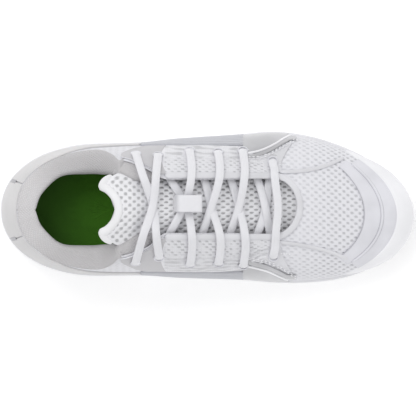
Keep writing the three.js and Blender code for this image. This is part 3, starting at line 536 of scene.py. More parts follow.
def make_materials():
    """Every finish of the shoe by name, in the panel's colours. The number after each colour is the share of
    it that is left where shade is painted into the cloths' hollows, and at the dark end of the moulded
    finishes' cloud."""
    hue = bpy.context.scene.cheer_shoe_colours
    return {
        # warp-knitted polyester spacer mesh: white yarn, with shade painted grey into its shallow pockets
        "air_mesh": weave("Polyester_spacer_mesh", hue.mesh, 0.44, "hole", rib=1.0, depth=0.2,
                          contrast=0.10, stagger=1.0),
        # open sandwich mesh of the tongue: its holes are shallow dents, with the shadow seen through them
        # painted grey
        "tongue_mesh": weave("Polyester_open_tongue_mesh", hue.tongue, 0.24, "hole", rib=1.0,
                             depth=0.2, contrast=0.08, stagger=1.0),
        # flat jersey-backed mesh of the eyestays, mottled where it is gathered: painted shade in its holes,
        # and darker blotches and streaks
        "mottled": weave("Polyester_jacquard_mesh", hue.eyestay, 0.4, "hole", rib=1.5, depth=0.3,
                         contrast=0.12, stagger=2.0),
        # ribbed polyester knit: soft ridges along the shoe, with shade painted into the troughs between them
        "ribbed": weave("Polyester_ribbed_knit", hue.ribs, 0.44, "hole", rib=1.1, depth=0.2,
                        contrast=0.10),
        # brushed polyester collar lining: fine slanting wales, greyer and softer than the upper, with shade
        # painted towards its inner lip and along its sides
        "collar": weave("Polyester_collar_knit", hue.collar, 0.34, "hole", rib=1.7, turn=0.78,
                        depth=0.7, contrast=0.22, sheen=0.3, roughness=0.95),
        # smooth warp-knitted lining: even and matt, a little darker than the mesh
        "lining": weave("Polyester_lining_tricot", hue.lining, 0.66, rib=0.8, depth=0.2, contrast=0.15),
        # braided flat polyester lace: bright, with fine ribs along it
        "lace": weave("Polyester_braided_lace", hue.lace, 0.65, rib=0.75, depth=0.2, contrast=0.12,
                      sheen=0.15, roughness=0.75),
        # twisted filament thread: small bright dashes along the seams
        "thread": weave("Polyester_thread", hue.thread, 0.66, rib=0.5, depth=0.05, roughness=0.55),
        # non-woven stitched-down board: buff and fibrous
        "board": weave("Cellulose_lasting_board", hue.board, 0.72, rib=1.2, depth=0.1, contrast=0.2),
        # dyed polyester cloth over foam: a saturated green, with shade painted on it inside the heel
        "insole": weave("Green_polyester_sock_liner", hue.insole, 0.27, "hole", rib=1.4, depth=0.3,
                        contrast=0.12, sheen=0.05, roughness=0.95),
        # polyurethane-coated microfibre: smooth, satin, faintly cloudy
        "synthetic": moulded("Coated_microfibre", hue.synthetic, 0.885, 0.42, 1100.0, 0.04),
        # brushed coating of the heel: softer and a shade greyer
        "satin": moulded("Brushed_microfibre", hue.heel, 0.9, 0.5, 1200.0, 0.04),
        # the same coating over the gathered eyestay, greyer still
        "eyestay_film": moulded("Brushed_grey_microfibre", hue.eyestay_film, 0.9, 0.5, 1200.0, 0.04),
        # rolled knitted binding round the tongue: bright with a fine pebble
        "tricot": moulded("Rolled_tricot_binding", hue.binding, 0.9, 0.7, 2200.0, 0.08, cells=True),
        # finely pebbled coating of the toe bands
        "band": moulded("Coated_microfibre_fine_grain", hue.band, 0.87, 0.5, 1600.0, 0.08, cells=True),
        # pearlescent coating: grey with a soft metal gleam
        "pearl": moulded("Pearl_coated_microfibre", hue.pearl, 0.83, 0.33, 1500.0, 0.02,
                         Metallic=0.25, Coat_Weight=0.3, Coat_Roughness=0.25),
        # glossy welded film: a thin bright line beside the pearl panel
        "gloss": moulded("Welded_film_piping", hue.piping, 0.9, 0.28, 700.0, 0.01, Coat_Weight=0.4),
        # carbon-free white rubber: moulded matt with a fine spark-eroded grain
        "rubber": moulded("Moulded_white_rubber", hue.rubber, 0.94, 0.6, 1300.0, 0.06, cells=True),
        # expanded foam: matt with a closed skin
        "foam": moulded("Moulded_EVA_foam", hue.foam, 0.91, 0.7, 800.0, 0.08, cells=True),
        # inner plates: plain grey nylon
        "plastic": moulded("Moulded_nylon_plate", hue.plate, 0.87, 0.45, 900.0, 0.03),
        # shrunk film of the lace tips: smooth and glossy
        "aglet": moulded("Clear_acetate_film", hue.aglet, 0.88, 0.2, 400.0, 0.01, Coat_Weight=0.5),
        # grey film tabs over the joints where the heel cover meets the rear overlays: their grey is painted
        # shade of the slots there, with a faint metallic glint
        "notch": moulded("Grey_film_painted_slot_shade", hue.slot_shade, 0.75, 0.35, 1800.0, 0.05, Metallic=0.3),
        # grey cord laid in a seam: a thin painted shadow
        "groove": moulded("Painted_seam_shadow", hue.seam, 0.85, 0.7, 900.0, 0.03),
    }


# ---- route of the lace -------------------------------------------------------------------------
# x and y in plan of each eyelet, from the toe back
EYELETS = [
    {"lateral": (42, 30.4), "medial": (42.6, -31.6)},
    {"lateral": (22.6, 37.2), "medial": (23, -37.4)},
    {"lateral": (6.5, 36.2), "medial": (6.8, -35.9)},
    {"lateral": (-12, 37.2), "medial": (-11.7, -36.6)},
    {"lateral": (-32.6, 34.2), "medial": (-32.1, -32)},
    {"lateral": (-46.9, 35), "medial": (-47.2, -35.4)},
]
# where the two strands cross, and x where each strand goes under the eyestay's edge
CROSSINGS = [(37.7, -1), (20.2, 0.3), (2, 0.3), (-14.3, 2.9), (-35.5, 1.6)]
DIVES = {"lateral": (32.9, 15.6, -1.7, -24.1), "medial": (32.9, 14.8, -3.1, -24.3)}
FIRST_DIVES = {"lateral": 39.4, "medial": 40}
TAIL_END_X = 32
OTHER = {"lateral": "medial", "medial": "lateral"}


def route_point(x, y, depth):
    """A place in plan and a depth, with the direction of the lace's width, which points to the toe."""
    at = drape(x, y, depth)
    return np.concatenate([at, unit(drape(x + 2, y, depth) - at)])


def eyelet_axes(x, y):
    """On the upper at an eyelet: its centre, the way to the toe, to the throat, and square to it."""
    top = drape(x, y, 0)
    fore = unit(drape(x + 1, y, 0) - drape(x - 1, y, 0))
    inward = unit(drape(x, y - np.sign(y), 0) - drape(x, y + np.sign(y), 0))
    square = unit(np.cross(fore, inward))
    return top, fore, inward, square * np.sign(square[2])


def eyelet_tops():
    """The centre of every eyelet on the upper."""
    return np.array([eyelet_axes(*row[name])[0] for row in EYELETS for name in row])


def through_eyelet(row, name):
    """Up through an eyelet from under the eyestay and out towards the throat."""
    top, fore, inward, square = eyelet_axes(*EYELETS[row][name])
    return [np.concatenate([top + inward * a - square * d, fore])
            for a, d in ((0.4, UNDER_LACE - 0.4), (-0.8, LINING), (-0.3, -0.2), (4.2, ON_TOP))]


def over_eyestay(row, name):
    """Out of an eyelet, over the eyestay and down to the throat's edge."""
    x, y = EYELETS[row][name]
    s, edge = SIGN[name], THROAT[name]
    cross = CROSSINGS[4][0] - x if row > 3 else 0
    bow = (mix(1.7, 0.26 * cross, row > 3), mix(1.2, 0.46 * cross, row > 3))
    return [*through_eyelet(row, name),
            route_point(x + bow[0], s * mix(abs(y), edge, 0.55), ON_TOP),
            route_point(x + bow[1], s * edge, ON_TOP - 2 * GAP)]


def under_eyestay(row, name, dive):
    """From the throat's edge at x = dive back under the eyestay towards an eyelet."""
    x, y = EYELETS[row][name]
    s, edge = SIGN[name], THROAT[name] - 1.8
    return [route_point(dive, s * edge, UNDER_LACE - 0.1),
            route_point(mix(dive, x, 0.75), s * mix(edge, abs(y), 0.7), UNDER_LACE - 0.1)]


def tail(name):
    """The end of the lace, tucked down inside the shoe and forward along the insole's edge."""
    x, s = EYELETS[5][name][0], SIGN[name]

    def down(run, z, ahead):
        a = np.radians(ahead)
        return np.concatenate([wall(s, run, INSIDE + LACE_THICK + GAP, z), (np.cos(a), 0, np.sin(a))])

    def rest(run):
        return float(sole_top(run)) + BOARD + INSOLE + LACE_WIDTH / 2 + 4 * GAP

    runs = [mix(x + 14, TAIL_END_X, u) for u in (0, 0.25, 0.5, 0.75, 1)]
    return [down(x, 52, 0), down(x + 1, 42, 15), down(x + 5, 33, 50), *(down(r, rest(r), 90) for r in runs)]


def strand(name):
    """One of the two strands, from the bar at the front to its tail at the back."""
    points = over_eyestay(0, name)[::-1] + under_eyestay(0, name, FIRST_DIVES[name])[::-1]
    points.append(route_point(*CROSSINGS[0], BELOW if name == "lateral" else OVER))
    name = OTHER[name]
    points += under_eyestay(1, name, DIVES[name][0])
    for row in (1, 2, 3, 4):
        points += over_eyestay(row, name)
        points.append(route_point(*CROSSINGS[row], OVER if name == "lateral" else BELOW))
        name = OTHER[name]
        if row < 4:
            points += under_eyestay(row + 1, name, DIVES[name][row])
    return points + over_eyestay(5, name)[::-1] + tail(name)


# ---- operators ---------------------------------------------------------------------------------
def sizes():
    """The sizes set in the panel."""
    return bpy.context.scene.cheer_shoe_sizes


class CHEER_OT_stage(bpy.types.Operator):
    """A pale floor, soft studio light all round and a camera straight above the shoe"""
    bl_idname = "cheer.stage"
    bl_label = "Stage"

    def execute(self, context):
        scene = context.scene
        scene.view_settings.view_transform = "Standard"
        half = 4.0
        mesh = bpy.data.meshes.new("floor")
        mesh.from_pydata([(-half, -half, 0), (half, -half, 0), (half, half, 0), (-half, half, 0)], [],
                         [(0, 1, 2, 3)])
        floor = bpy.data.objects.new("floor", mesh)
        scene.collection.objects.link(floor)
        paper, _, shader = start("Matt_studio_floor", 0.95)
        shader.inputs["Base Color"].default_value = linear("#fafafa")
        shader.inputs["Emission Color"].default_value = linear("#ffffff")
        shader.inputs["Emission Strength"].default_value = sizes().floor_glow
        mesh.materials.append(paper)
        world = bpy.data.worlds.new("Soft_studio")
        scene.world = world
        world.use_nodes = True
        back = world.node_tree.nodes["Background"]
        back.inputs[0].default_value = (1, 1, 1, 1)
        back.inputs[1].default_value = sizes().room_light
        for name, place, power, size in (("key", (-0.5, 0.9, 1.5), sizes().key_light, 0.9),
                                         ("fill", (0.9, -0.7, 1.4), sizes().key_light * 0.45, 1.2)):
            lamp = bpy.data.lights.new(name, "AREA")
            lamp.energy, lamp.size = power, size
            light = bpy.data.objects.new(name, lamp)
            light.location = place
            light.rotation_euler = (-Vector(place)).to_track_quat("-Z", "Y").to_euler()
            scene.collection.objects.link(light)
        lens = bpy.data.cameras.new("camera")
        lens.sensor_width = 36
        lens.lens = lens.sensor_width * sizes().camera_height / sizes().view_width
        lens.clip_end = 20
        camera = bpy.data.objects.new("camera", lens)
        camera.location = (0, 0, sizes().camera_height + 0.05)
        scene.collection.objects.link(camera)
        scene.camera = camera
        return {"FINISHED"}


class CHEER_OT_lace(bpy.types.Operator):
    """One flat lace carried along its route, a rounded oval with fine ribs along it. Away from the
    eyelets the route is averaged in plan over its neighbours, so that each run curves gently"""
    bl_idname = "cheer.lace"
    bl_label = "Lace"

    def execute(self, context):
        bar = route_point(along(0.67), THROAT_MIDDLE, ON_TOP)
        route = np.array(strand("lateral")[::-1] + [bar] + strand("medial"))
        step, spread, neighbours = 1.4, 6.0, 12
        path = spline(route, step)
        relaxed = path.copy()
        weight = np.exp(-0.5 * (np.arange(-neighbours, neighbours + 1) * step / spread) ** 2)
        for axis in (0, 1):
            padded = np.pad(path[:, axis], neighbours, "edge")
            relaxed[:, axis] = np.convolve(padded, weight / weight.sum(), "valid")
        close = np.linalg.norm(path[:, None, :3] - eyelet_tops()[None], axis=-1).min(1)
        loose = (smooth(4, 11, close) * (path[:, 2] > 40))[:, None]
        path[:, :3] = mix(path[:, :3], relaxed[:, :3], loose)
        width, thick = sizes().lace_width / MM, sizes().lace_thickness / MM

        def section(theta):
            w, h = oval(width, thick, 0.82)(theta)
            ribs = 0.07 * np.cos(2 * np.pi * w / 0.9) * np.sign(np.sin(theta))
            return w, h + ribs * smooth(0.1, 0.5, np.abs(np.sin(theta)))

        lace = sweep("lace_woven", "lace", path[:, :3], path[:, 3:], (44, section))
        stand(lace, "lace", "lace")
        ends = [refinish(f"aglet_{name}", "aglet") for name in SIGN]
        return {"FINISHED"}


def outline(depth):
    """The shoe's outline at a depth, once round from the heel's back by the lateral side: the ends'
    curves by angle and even stations between."""
    count = 60
    turn = np.radians(np.linspace(0, 90, count, endpoint=False))
    back = HEEL_X - (HEEL_REACH - depth) * np.abs(np.cos(turn)) ** HEEL_POWER
    side = np.linspace(HEEL_X, BALL_X, count, endpoint=False)
    toe = BALL_X + (TOE_REACH - depth) * np.sin(np.radians(np.linspace(0, 90, count)))
    x = np.concatenate([back, side, toe])
    half = breadth(x, depth)
    half[0] = half[-1] = 0
    x = np.concatenate([x, x[-2::-1]])
    half = np.concatenate([half, -half[-2::-1]])
    return joined(x, middle(x) + half)


def slab(name, finish, rows):
    """A body with the shoe's outline: each row is (depth, share, height), where share draws the outline
    in to the middle line and height is worked out from x. The first and last row close it."""
    rings = []
    for depth, share, height in rows:
        ring = outline(depth)
        spine = np.clip(ring[:, 0], HEEL_X * 0.9, BALL_X)
        x = mix(spine, ring[:, 0], share)
        y = mix(middle(spine), ring[:, 1], share)
        rings.append(joined(x, y, height(x)))
    rings = np.array(rings)
    u = distances(rings[len(rows) // 2])
    v = np.cumsum([0] + [np.abs(b[0] - a[0]) + 2 for a, b in zip(rows, rows[1:])])
    uv = joined(u[None], v[:, None])
    return piece(name, rings, lattice(*rings.shape[:2]), finish, uv, closed=True)


def tread(x):
    """Height where the rubber pads meet the foam."""
    return floor_line(x) + 3.0


class CHEER_OT_sole(bpy.types.Operator):
    """The foam midsole with its moulded grooves, and two rubber outsole pads with cut treads"""
    bl_idname = "cheer.sole"
    bl_label = "Sole"

    def execute(self, context):
        def level(share, lift=0.0):
            return lambda x: mix(tread(x) + GAP, sole_top(x) - GAP, share) + lift

        side = [(2.6, 1, level(0, 0.6)), (2.3, 1, level(0.1)), (1.9, 1, level(0.3)), (2.9, 1, level(0.36)),
                (2.9, 1, level(0.4)), (1.6, 1, level(0.46)), (1.1, 1, level(0.62)), (0.7, 1, level(0.8)),
                (0.1, 1, level(0.92)), (-0.6, 1, level(0.99)), (-0.7, 1, level(1, 0.8)),
                (-0.2, 1, level(1, 1.4)), (0.8, 1, level(1, 1.5))]
        rows = [(6, 0, level(0)), (6, 0.7, level(0)), (4, 1, level(0)), (3, 1, level(0, 0.15)), *side,
                (2.2, 1, level(1, 0.5)), (3.5, 1, level(1)), (8, 0.8, level(1)), (8, 0, level(1))]
        midsole = slab("midsole_foam", "foam", rows)
        stand(midsole, "midsole_foam", "midsole")
        pads = {"outsole_forefoot": (along(0.46), TOE_X - 3.6), "outsole_heel": (-131.0, along(0.31))}
        for node, (back, front) in pads.items():
            u, v = np.meshgrid(np.linspace(0, 1, 150), np.linspace(0, 1, 121), indexing="ij")
            x = mix(back, front, u)
            turn = 2 * np.pi * v
            across = np.clip(-1.25 * np.cos(turn), -1, 1)
            under = np.sin(turn) < 0
            half = breadth(x, np.where(under, 4.0, 3.0))
            y = middle(x) + across * half
            # slanting lugs and a groove on each side, none of them near the rim
            lug = np.abs((x * 0.9 + np.abs(y - middle(x)) * 0.8) / 7 % 1 - 0.5) * 2
            split = np.abs(np.abs(y - middle(x)) - 14)
            near = np.minimum(np.minimum(x - back, front - x), half * (1 - np.abs(across)))
            cut = 1.6 * np.maximum(1 - smooth(0.12, 0.3, 1 - lug), 1 - smooth(0.9, 1.8, split))
            cut = cut * smooth(2.0, 3.5, near)
            z = np.where(under, floor_line(x) + cut, tread(x))
            rim = smooth(0.94, 1.0, np.abs(across))
            z = np.where(under, z + 0.9 * rim, z - 0.5 * rim)
            points = capped(joined(x, y, z))
            pad = piece(node + "_rubber", points, lattice(*points.shape[:2]), "rubber", closed=True)
            stand(pad, "outsole_rubber", node)
        return {"FINISHED"}


class CHEER_OT_insole(bpy.types.Operator):
    """The green sock liner: a slab with the shoe's outline, cupped up a little towards its edge"""
    bl_idname = "cheer.insole"
    bl_label = "Insole"

    def execute(self, context):
        low = BOARD + GAP

        def lift(h):
            return lambda x: sole_top(x) + h

        rows = [(9, 0, lift(low)), (9, 0.8, lift(low)), (7.2, 1, lift(low)), (6.9, 1, lift(low + 0.4)),
                (6.9, 1, lift(low + INSOLE)), (7.3, 1, lift(low + INSOLE + 0.5)),
                (8.2, 1, lift(low + INSOLE + 0.3)), (10, 1, lift(low + INSOLE)),
                (14, 0.9, lift(low + INSOLE - 0.3)), (14, 0.55, lift(low + INSOLE - 0.5)),
                (14, 0.0, lift(low + INSOLE - 0.6))]
        liner = slab("insole_liner", "insole", rows)
        # painted shade: these hole values mark no holes; they darken the liner from x = -58 mm back to the
        # heel, inside the deep mouth
        x = np.array([v.co.x for v in liner.data.vertices]) / MM
        liner.data.attributes.new("hole", "FLOAT", "POINT").data.foreach_set(
            "value", (0.8 * (1 - smooth(-112, -58, x))).astype(np.float32))
        stand(liner, "insole_green", "insole")
        return {"FINISHED"}


def in_throat(x, y, margin):
    """True inside the throat's outline: straight sides and an elliptical front, smaller by margin."""
    half = THROAT_HALF + margin
    ahead = np.maximum(0, x - THROAT_X) / (THROAT_ROUND + margin)
    return ((y - THROAT_MIDDLE) / half) ** 2 + np.where(x > THROAT_X, ahead**2, 0) < 1


def near_eyelet(points, radius):
    """True for the points within a radius of an eyelet's centre."""
    return (np.linalg.norm(points[:, None] - eyelet_tops()[None], axis=-1) < radius).any(1)


class CHEER_OT_vamp(bpy.types.Operator):
    """The mesh over the toes: the skin sunk to its own layer, with a shallow pocket at each hole"""
    bl_idname = "cheer.vamp"
    bl_label = "Vamp"

    def execute(self, context):
        count, crest_column = 150, 116
        u = np.sin(np.pi / 2 * np.linspace(0, 1, count) ** 0.85)
        x = mix(QUARTER_X + 0.2, TOE_X - BASE - 0.5, u)[:, None]
        t = np.linspace(-LOW_EDGE, LOW_EDGE, 2 * crest_column + 1)[None]
        side = np.where(t < 0, -1.0, 1.0)
        flat = skin(side, x, np.abs(t), BASE)
        girth = np.array([distances(row) for row in flat])
        girth -= girth[:, [crest_column]]
        reach = distances(flat[:, crest_column])[:, None] * np.ones_like(girth)
        pitch = sizes().mesh_pitch / MM
        hole = holes(reach, girth, pitch, pitch * 0.82, 0.08, 0.75, 1.25)
        pocket_shade_strength = smooth(55, 84, x) * 0.5 + 0.5
        proud = 0.9 - sizes().dimple_depth / MM * hole
        points = skin(side, x, np.abs(t), BASE - proud)
        faces = lattice(*points.shape[:2])
        flat_points = points.reshape(-1, 3)
        centre = flat_points[faces].mean(1)
        faces = faces[~in_throat(centre[:, 0], centre[:, 1], 1.2) & ~near_eyelet(centre, 3.2)]
        used, back = np.unique(faces, return_inverse=True)
        uv = joined(reach, girth).reshape(-1, 2)
        # painted shade: the hole values darken the pockets, at full strength over the toe and half strength
        # behind x = 55 mm
        vamp = piece("vamp_mesh", flat_points[used], back.reshape(-1, 4), "air_mesh", uv[used],
                     {"hole": (hole * pocket_shade_strength).ravel()[used] * 0.62}, wall_mm=0.9)
        stand(vamp, "mesh", "vamp")
        return {"FINISHED"}


class CHEER_OT_toe(bpy.types.Operator):
    """Two coated bands round the toe with a welded line between them, and the rubber bumper"""
    bl_idname = "cheer.toe"
    bl_label = "Toe bands and bumper"

    def execute(self, context):
        for node, edge, turn, wide in (("toe_band_inner", 0, 53, 12), ("toe_band_outer", 1, 50.5, 9)):
            def at(u, v, depth):
                angle = mix(-turn, turn, u)
                share = mix(band_share(edge, angle) + 0.002, band_share(edge + 1, angle) + 0.008 * edge, v)
                return toe_skin(share, angle, depth)

            band = patch(node + "_film", "band", at, (105, wide), 1.3, roll=0.7)
            stand(band, "synthetic", node)
        def cord(name, finish, edge, lift, turn, count, depths, section):
            angle = np.linspace(-turn, turn, count)
            share = band_share(edge, angle) + lift
            outer, inner = (toe_skin(share, angle, depth) for depth in depths)
            line = sweep(name, finish, outer, np.cross(heading(outer), unit(outer - inner)), section)
            stand(line, "synthetic")

        cord("toe_weld", "band", 1, 0.0, 50, 70, (-0.1, 1.0), (12, oval(1.9, 1.3)))
        # painted shadow: thin grey cords laid along the seams of the toe bands
        for number, place in enumerate(((0, -0.001, 50), (1, -0.0125, 49), (1, 0.0125, 49))):
            cord(f"toe_seam_{number}", "groove", *place, 80, (0.15, 1.2), (8, oval(0.55, 0.5)))

        def bumper(u, v, depth):
            angle = mix(-66, 66, u)
            wrap = np.minimum(1, v / 0.7)
            taper = smooth(0, 0.3, np.minimum(u, 1 - u))
            share = mix(band_share(2, angle) + 0.002, 1, wrap)
            outside = -mix(0.6, 2.7, wrap) * np.sqrt(taper) + 1.8 * (1 - taper)
            p = toe_skin(share, angle, outside + depth)
            p[..., 2] -= 8 * taper * np.maximum(0, (v - 0.7) / 0.3)
            return p

        cap = patch("toe_bumper_rubber", "rubber", bumper, (125, 34), 1.4, roll=1.2, wall_mm=0.8)
        stand(cap, "outsole_rubber", "toe_bumper")
        return {"FINISHED"}


def side_sheet(name, x_from, x_to, upper, lower):
    """The skin of one side between two edges given in plan, v running down from upper to lower. Either
    end is a place, or a function of v."""
    s = SIGN[name]

    def at(u, v, depth):
        x = mix(*(end(v) if callable(end) else end for end in (x_from, x_to)), u)
        a = np.minimum(plan_angle(x, s * upper(x)), LOW_EDGE)
        b = np.minimum(plan_angle(x, s * lower(x)), LOW_EDGE)
        return skin(s, x, mix(a, b, v), depth)

    return at


class CHEER_OT_eyestays(bpy.types.Operator):
    """The eyestays: gathered mesh in the middle, coated sheet at both ends, and their punched holes"""
    bl_idname = "cheer.eyestays"
    bl_label = "Eyestays"

    def execute(self, context):
        size = (105, 24)
        front = {"lateral": ((39.5, 33.0), 33.4), "medial": ((42.5, 34.0), 33.6)}
        for name, throat in THROAT.items():
            low = HEM[name]
            hem = through([(-60, 33.8), (-54, 37), (-46, low - 1.2), (-38, low), (PANEL_X - 4, low - 0.5),
                           (EYESTAY_FRONT_X - 8, 35.5)])
            edge = quarter_edge(name)

            def top(x):
                return np.maximum(edge(x) + 1.2, throat + STRIP - 1.0)

            at = side_sheet(name, EYESTAY_BACK_X, EYESTAY_FRONT_X - 3, top, hem)

            def crumple(u, v):
                x, y = u * size[0], v * size[1]
                inside = smooth(0.27, 0.31, u) * smooth(0, 0.12, v) * (1 - smooth(0.9, 1, v))
                folds = wander(x * 0.2, y * 1.9, 6, 11 if name == "lateral" else 17)
                fine = wander(x * 0.35, y * 2.2, 3.2, 23 if name == "lateral" else 29)
                return inside * (0.42 * folds + 0.24 * fine) * smooth(0.05, 0.5, v)

            # painted shade in the holes of the gathered mesh, patchy near its top, with darker streaks
            # towards its hem
            def painted_hole_shade_and_streaks(u, v):
                x, y = u * size[0], v * size[1]
                inside = smooth(0.275, 0.285, u)
                net = holes(x, y, 4.6, 3.1, 0.08, 0.6, 1.7)
                seed = 5 if name == "lateral" else 9
                blotch = smooth(-0.9, 0.4, wander(x * 0.5, y * 1.5, 6, seed))
                streak = smooth(-0.1, 0.6, wander(x * 0.16, y * 2.6, 2.4, seed + 30))
                outer = smooth(0.3, 0.65, v)
                return inside * np.clip(mix(0.7 * blotch * net + 0.1, 0.08 + 0.42 * streak, outer), 0, 0.9)

            stay = patch(f"eyestay_{name}_mesh", "mottled", at, size, 0.8, roll=0.8, drop=0.7,
                         relief=crumple, values={"hole": painted_hole_shade_and_streaks}, wall_mm=0.8)
            work = bmesh.new()
            work.from_mesh(stay.data)
            gone = near_eyelet(np.array([f.calc_center_median() for f in work.faces]) / MM, 3.0)
            bmesh.ops.delete(work, geom=[f for f, g in zip(work.faces, gone) if g], context="FACES")
            work.to_mesh(stay.data)
            work.free()
            stand(stay, "synthetic", f"eyestay_{name}")

            rear = side_sheet(name, EYESTAY_BACK_X + 0.4, lambda v: -27.0 - 3.5 * np.sin(np.pi * v),
                              lambda x: top(x) + 0.2, lambda x: hem(x) - 0.2)
            back = patch(f"eyestay_{name}_rear_film", "eyestay_film",
                         lambda u, v, depth: rear(u, v, depth - 0.3), (29, 12), 0.9, roll=0.6, drop=0.5)
            stand(back, "synthetic")
            (inner_x, outer_x), seam_y = front[name]
            stitch_line = through([(27, seam_y), (36, seam_y + 0.9), (47, 38.6), (55, 42.5)])

            def fore(u, v, depth):
                x = mix(mix(inner_x, outer_x, v), 48 + 7 * v - 3 * np.sin(np.pi * v), u)
                y = mix(throat + STRIP + 0.4, stitch_line(x), v)
                return skin(SIGN[name], x, plan_angle(x, SIGN[name] * y), depth - 0.12)

            tip = patch(f"eyestay_{name}_front_film", "synthetic", fore, (20, 16), 0.8, roll=0.7, drop=0.6,
                        relief=lambda u, v: 0.18 * wander(u * 12, v * 22, 9, 3) * smooth(0, 0.2, v))
            stand(tip, "synthetic")
        proud, radius, thin, around, turns = 0.75, 3.1, 0.45, 25, 9
        theta = np.linspace(0, 2 * np.pi, around)[:, None]
        tube = np.linspace(0, 2 * np.pi, turns)
        rims = []
        for row in EYELETS:
            for place in row.values():
                top, ahead, inward, square = eyelet_axes(*place)
                rims.append(top + square * proud + radius * (np.cos(theta) * ahead + np.sin(theta) * inward))
        rims = np.array(rims)
        outward = unit(rims - rims[:, :-1].mean(1, keepdims=True))
        up = np.cross(unit(np.gradient(rims, axis=1)), outward)
        points = rims[:, :, None] + thin * (np.cos(tube)[:, None] * outward[:, :, None]
                                            + np.sin(tube)[:, None] * up[:, :, None])
        welt = piece("eyelet_welts", points, copies(len(rims), around, turns), "band", closed=True)
        stand(welt, "synthetic")
        return {"FINISHED"}


class CHEER_OT_binding(bpy.types.Operator):
    """The coated strip round the throat: a low rounded section along straight edges and an ellipse"""
    bl_idname = "cheer.binding"
    bl_label = "Throat binding"

    def execute(self, context):
        width = sizes().binding_width / MM
        centre, half = THROAT_MIDDLE, THROAT_HALF + width / 2
        deep = THROAT_ROUND + 0.4 * width
        leg = np.linspace(along(0.395), THROAT_X, 60, endpoint=False)
        turn = np.radians(np.linspace(-90, 90, 60))
        xy = np.concatenate([joined(leg, centre - half),
                             joined(THROAT_X + deep * np.cos(turn), centre + half * np.sin(turn)),
                             joined(leg[::-1], centre + half)])
        section = (20, oval(width + 0.3, 2.3, 0.75))
        strip = seam_tube("throat_strip", "synthetic", xy, 0.35, section, 1.1)
        stand(strip, "synthetic", "throat_binding")
        return {"FINISHED"}


class CHEER_OT_sides(bpy.types.Operator):
    """Pearl side panels with bright piping and a grey band, and the ribbed knit bands behind them"""
    bl_idname = "cheer.sides"
    bl_label = "Side panels and bands"

    def execute(self, context):
        curves = {"lateral": [(24.4, 35.4), (34, 37.5), (43, 41.5), (50, 45.8), (55, 48.2)],
                  "medial": [(24.4, 37.7), (31, 39.3), (38.6, 41.3), (46.8, 44.9), (53, 47.6)]}
        for name, points in curves.items():
            s = SIGN[name]
            edge = through(points)
            at = side_sheet(name, lambda v: PANEL_X - 2.2 * np.sin(np.pi * v), lambda v: mix(51.5, 53.5, v),
                            edge, lambda x: TO_SOLE)
            panel = patch(f"side_panel_{name}_pearl", "pearl", at, (31, 18), 1.0, roll=0.8,
                          relief=lambda u, v: 0.4 * np.sin(np.pi * v) ** 0.7)
            stand(panel, "pearl", f"side_panel_{name}")
            line = np.array(points) * (1, s)
            pipe = seam_tube(f"piping_{name}", "gloss", line, -0.35, (12, oval(1.7, 1.5)))
            stand(pipe, "synthetic")
            wide = 2.6 if name == "lateral" else 2.9
            band = side_sheet(name, 25.5, 57.5, lambda x: edge(x) - 1.0 - wide, lambda x: edge(x) - 1.0)
            second = patch(f"grey_band_{name}", "pearl", lambda u, v, depth: band(u, v, depth - 0.5),
                           (36, 3), 0.7, roll=0.5, drop=0.6, wall_mm=0.4)
            stand(second, "pearl")
            ribs = side_sheet(name, along(0.337), PANEL_X - GAP, lambda x: HEM[name] + 0.4,
                              lambda x: TO_SOLE)
            pitch, long, high = sizes().rib_pitch / MM, 68, 24

            def ridge(u, v):
                wave = v * high + 0.4 * np.sin(u * 9) + 0.25 * wander(u * long, v * high, 14, 21)
                return np.abs(np.cos(np.pi * wave / pitch))

            # painted shade: the hole values darken the troughs between the ridges
            knit = patch(f"side_band_{name}_ribs", "ribbed", ribs, (long, high), 0.55, roll=0.7, drop=0.9,
                         relief=lambda u, v: 0.6 * ridge(u, v),
                         values={"hole": lambda u, v: 0.5 * (1 - ridge(u, v))})
            stand(knit, "ribbed_knit", f"side_band_{name}")
        return {"FINISHED"}


class CHEER_OT_strips(bpy.types.Operator):
    """The narrow coated strips between the toe mesh and its side windows"""
    bl_idname = "cheer.strips"
    bl_label = "Vamp strips"

    def execute(self, context):
        seams = {"lateral": [(46, 23.6), (57.6, 23.9), (68.1, 25.2), (78.8, 28.4), (89, 33.2)],
                 "medial": [(46, -22.2), (57, -23.6), (68, -25.6), (80, -28.8), (92, -33.6)]}
        for name, xy in seams.items():
            strip = seam_tube(f"vamp_strip_{name}_film", "synthetic", xy, 0.3, (12, oval(2.6, 1.5)))
            stand(strip, "synthetic", f"vamp_strip_{name}")
        return {"FINISHED"}


class CHEER_OT_quarters(bpy.types.Operator):
    """The quarters: mesh sheets from the lacing's edge and the topline down to the sole"""
    bl_idname = "cheer.quarters"
    bl_label = "Quarters"

    def execute(self, context):
        size = (185, 38)
        for name, s in SIGN.items():
            edge = quarter_edge(name)

            def at(u, v, depth):
                run = mix(QUARTER_X - 0.2, HEEL_X - HEEL_TURN + 0.3, u)
                x = np.maximum(run, EYESTAY_BACK_X)
                high = np.where(run < EYESTAY_BACK_X, angle_at(run, topline(run) + 0.6),
                                plan_angle(x, s * edge(x)))
                return skin(s, run, mix(high, LOW_EDGE, v), BASE - 0.7 + depth)

            # painted shade: the hole values darken the quarter by 0.12 all over and up to 0.52 in its mesh
            # holes
            def net(u, v):
                return 0.12 + 0.4 * holes(u * size[0], v * size[1], 2.6, 2.6)

            quarter = patch(f"quarter_{name}_mesh", "air_mesh", at, size, 1.0, drop=0.6,
                            values={"hole": net}, wall_mm=1.0)
            stand(quarter, "mesh", f"quarter_{name}")
        return {"FINISHED"}


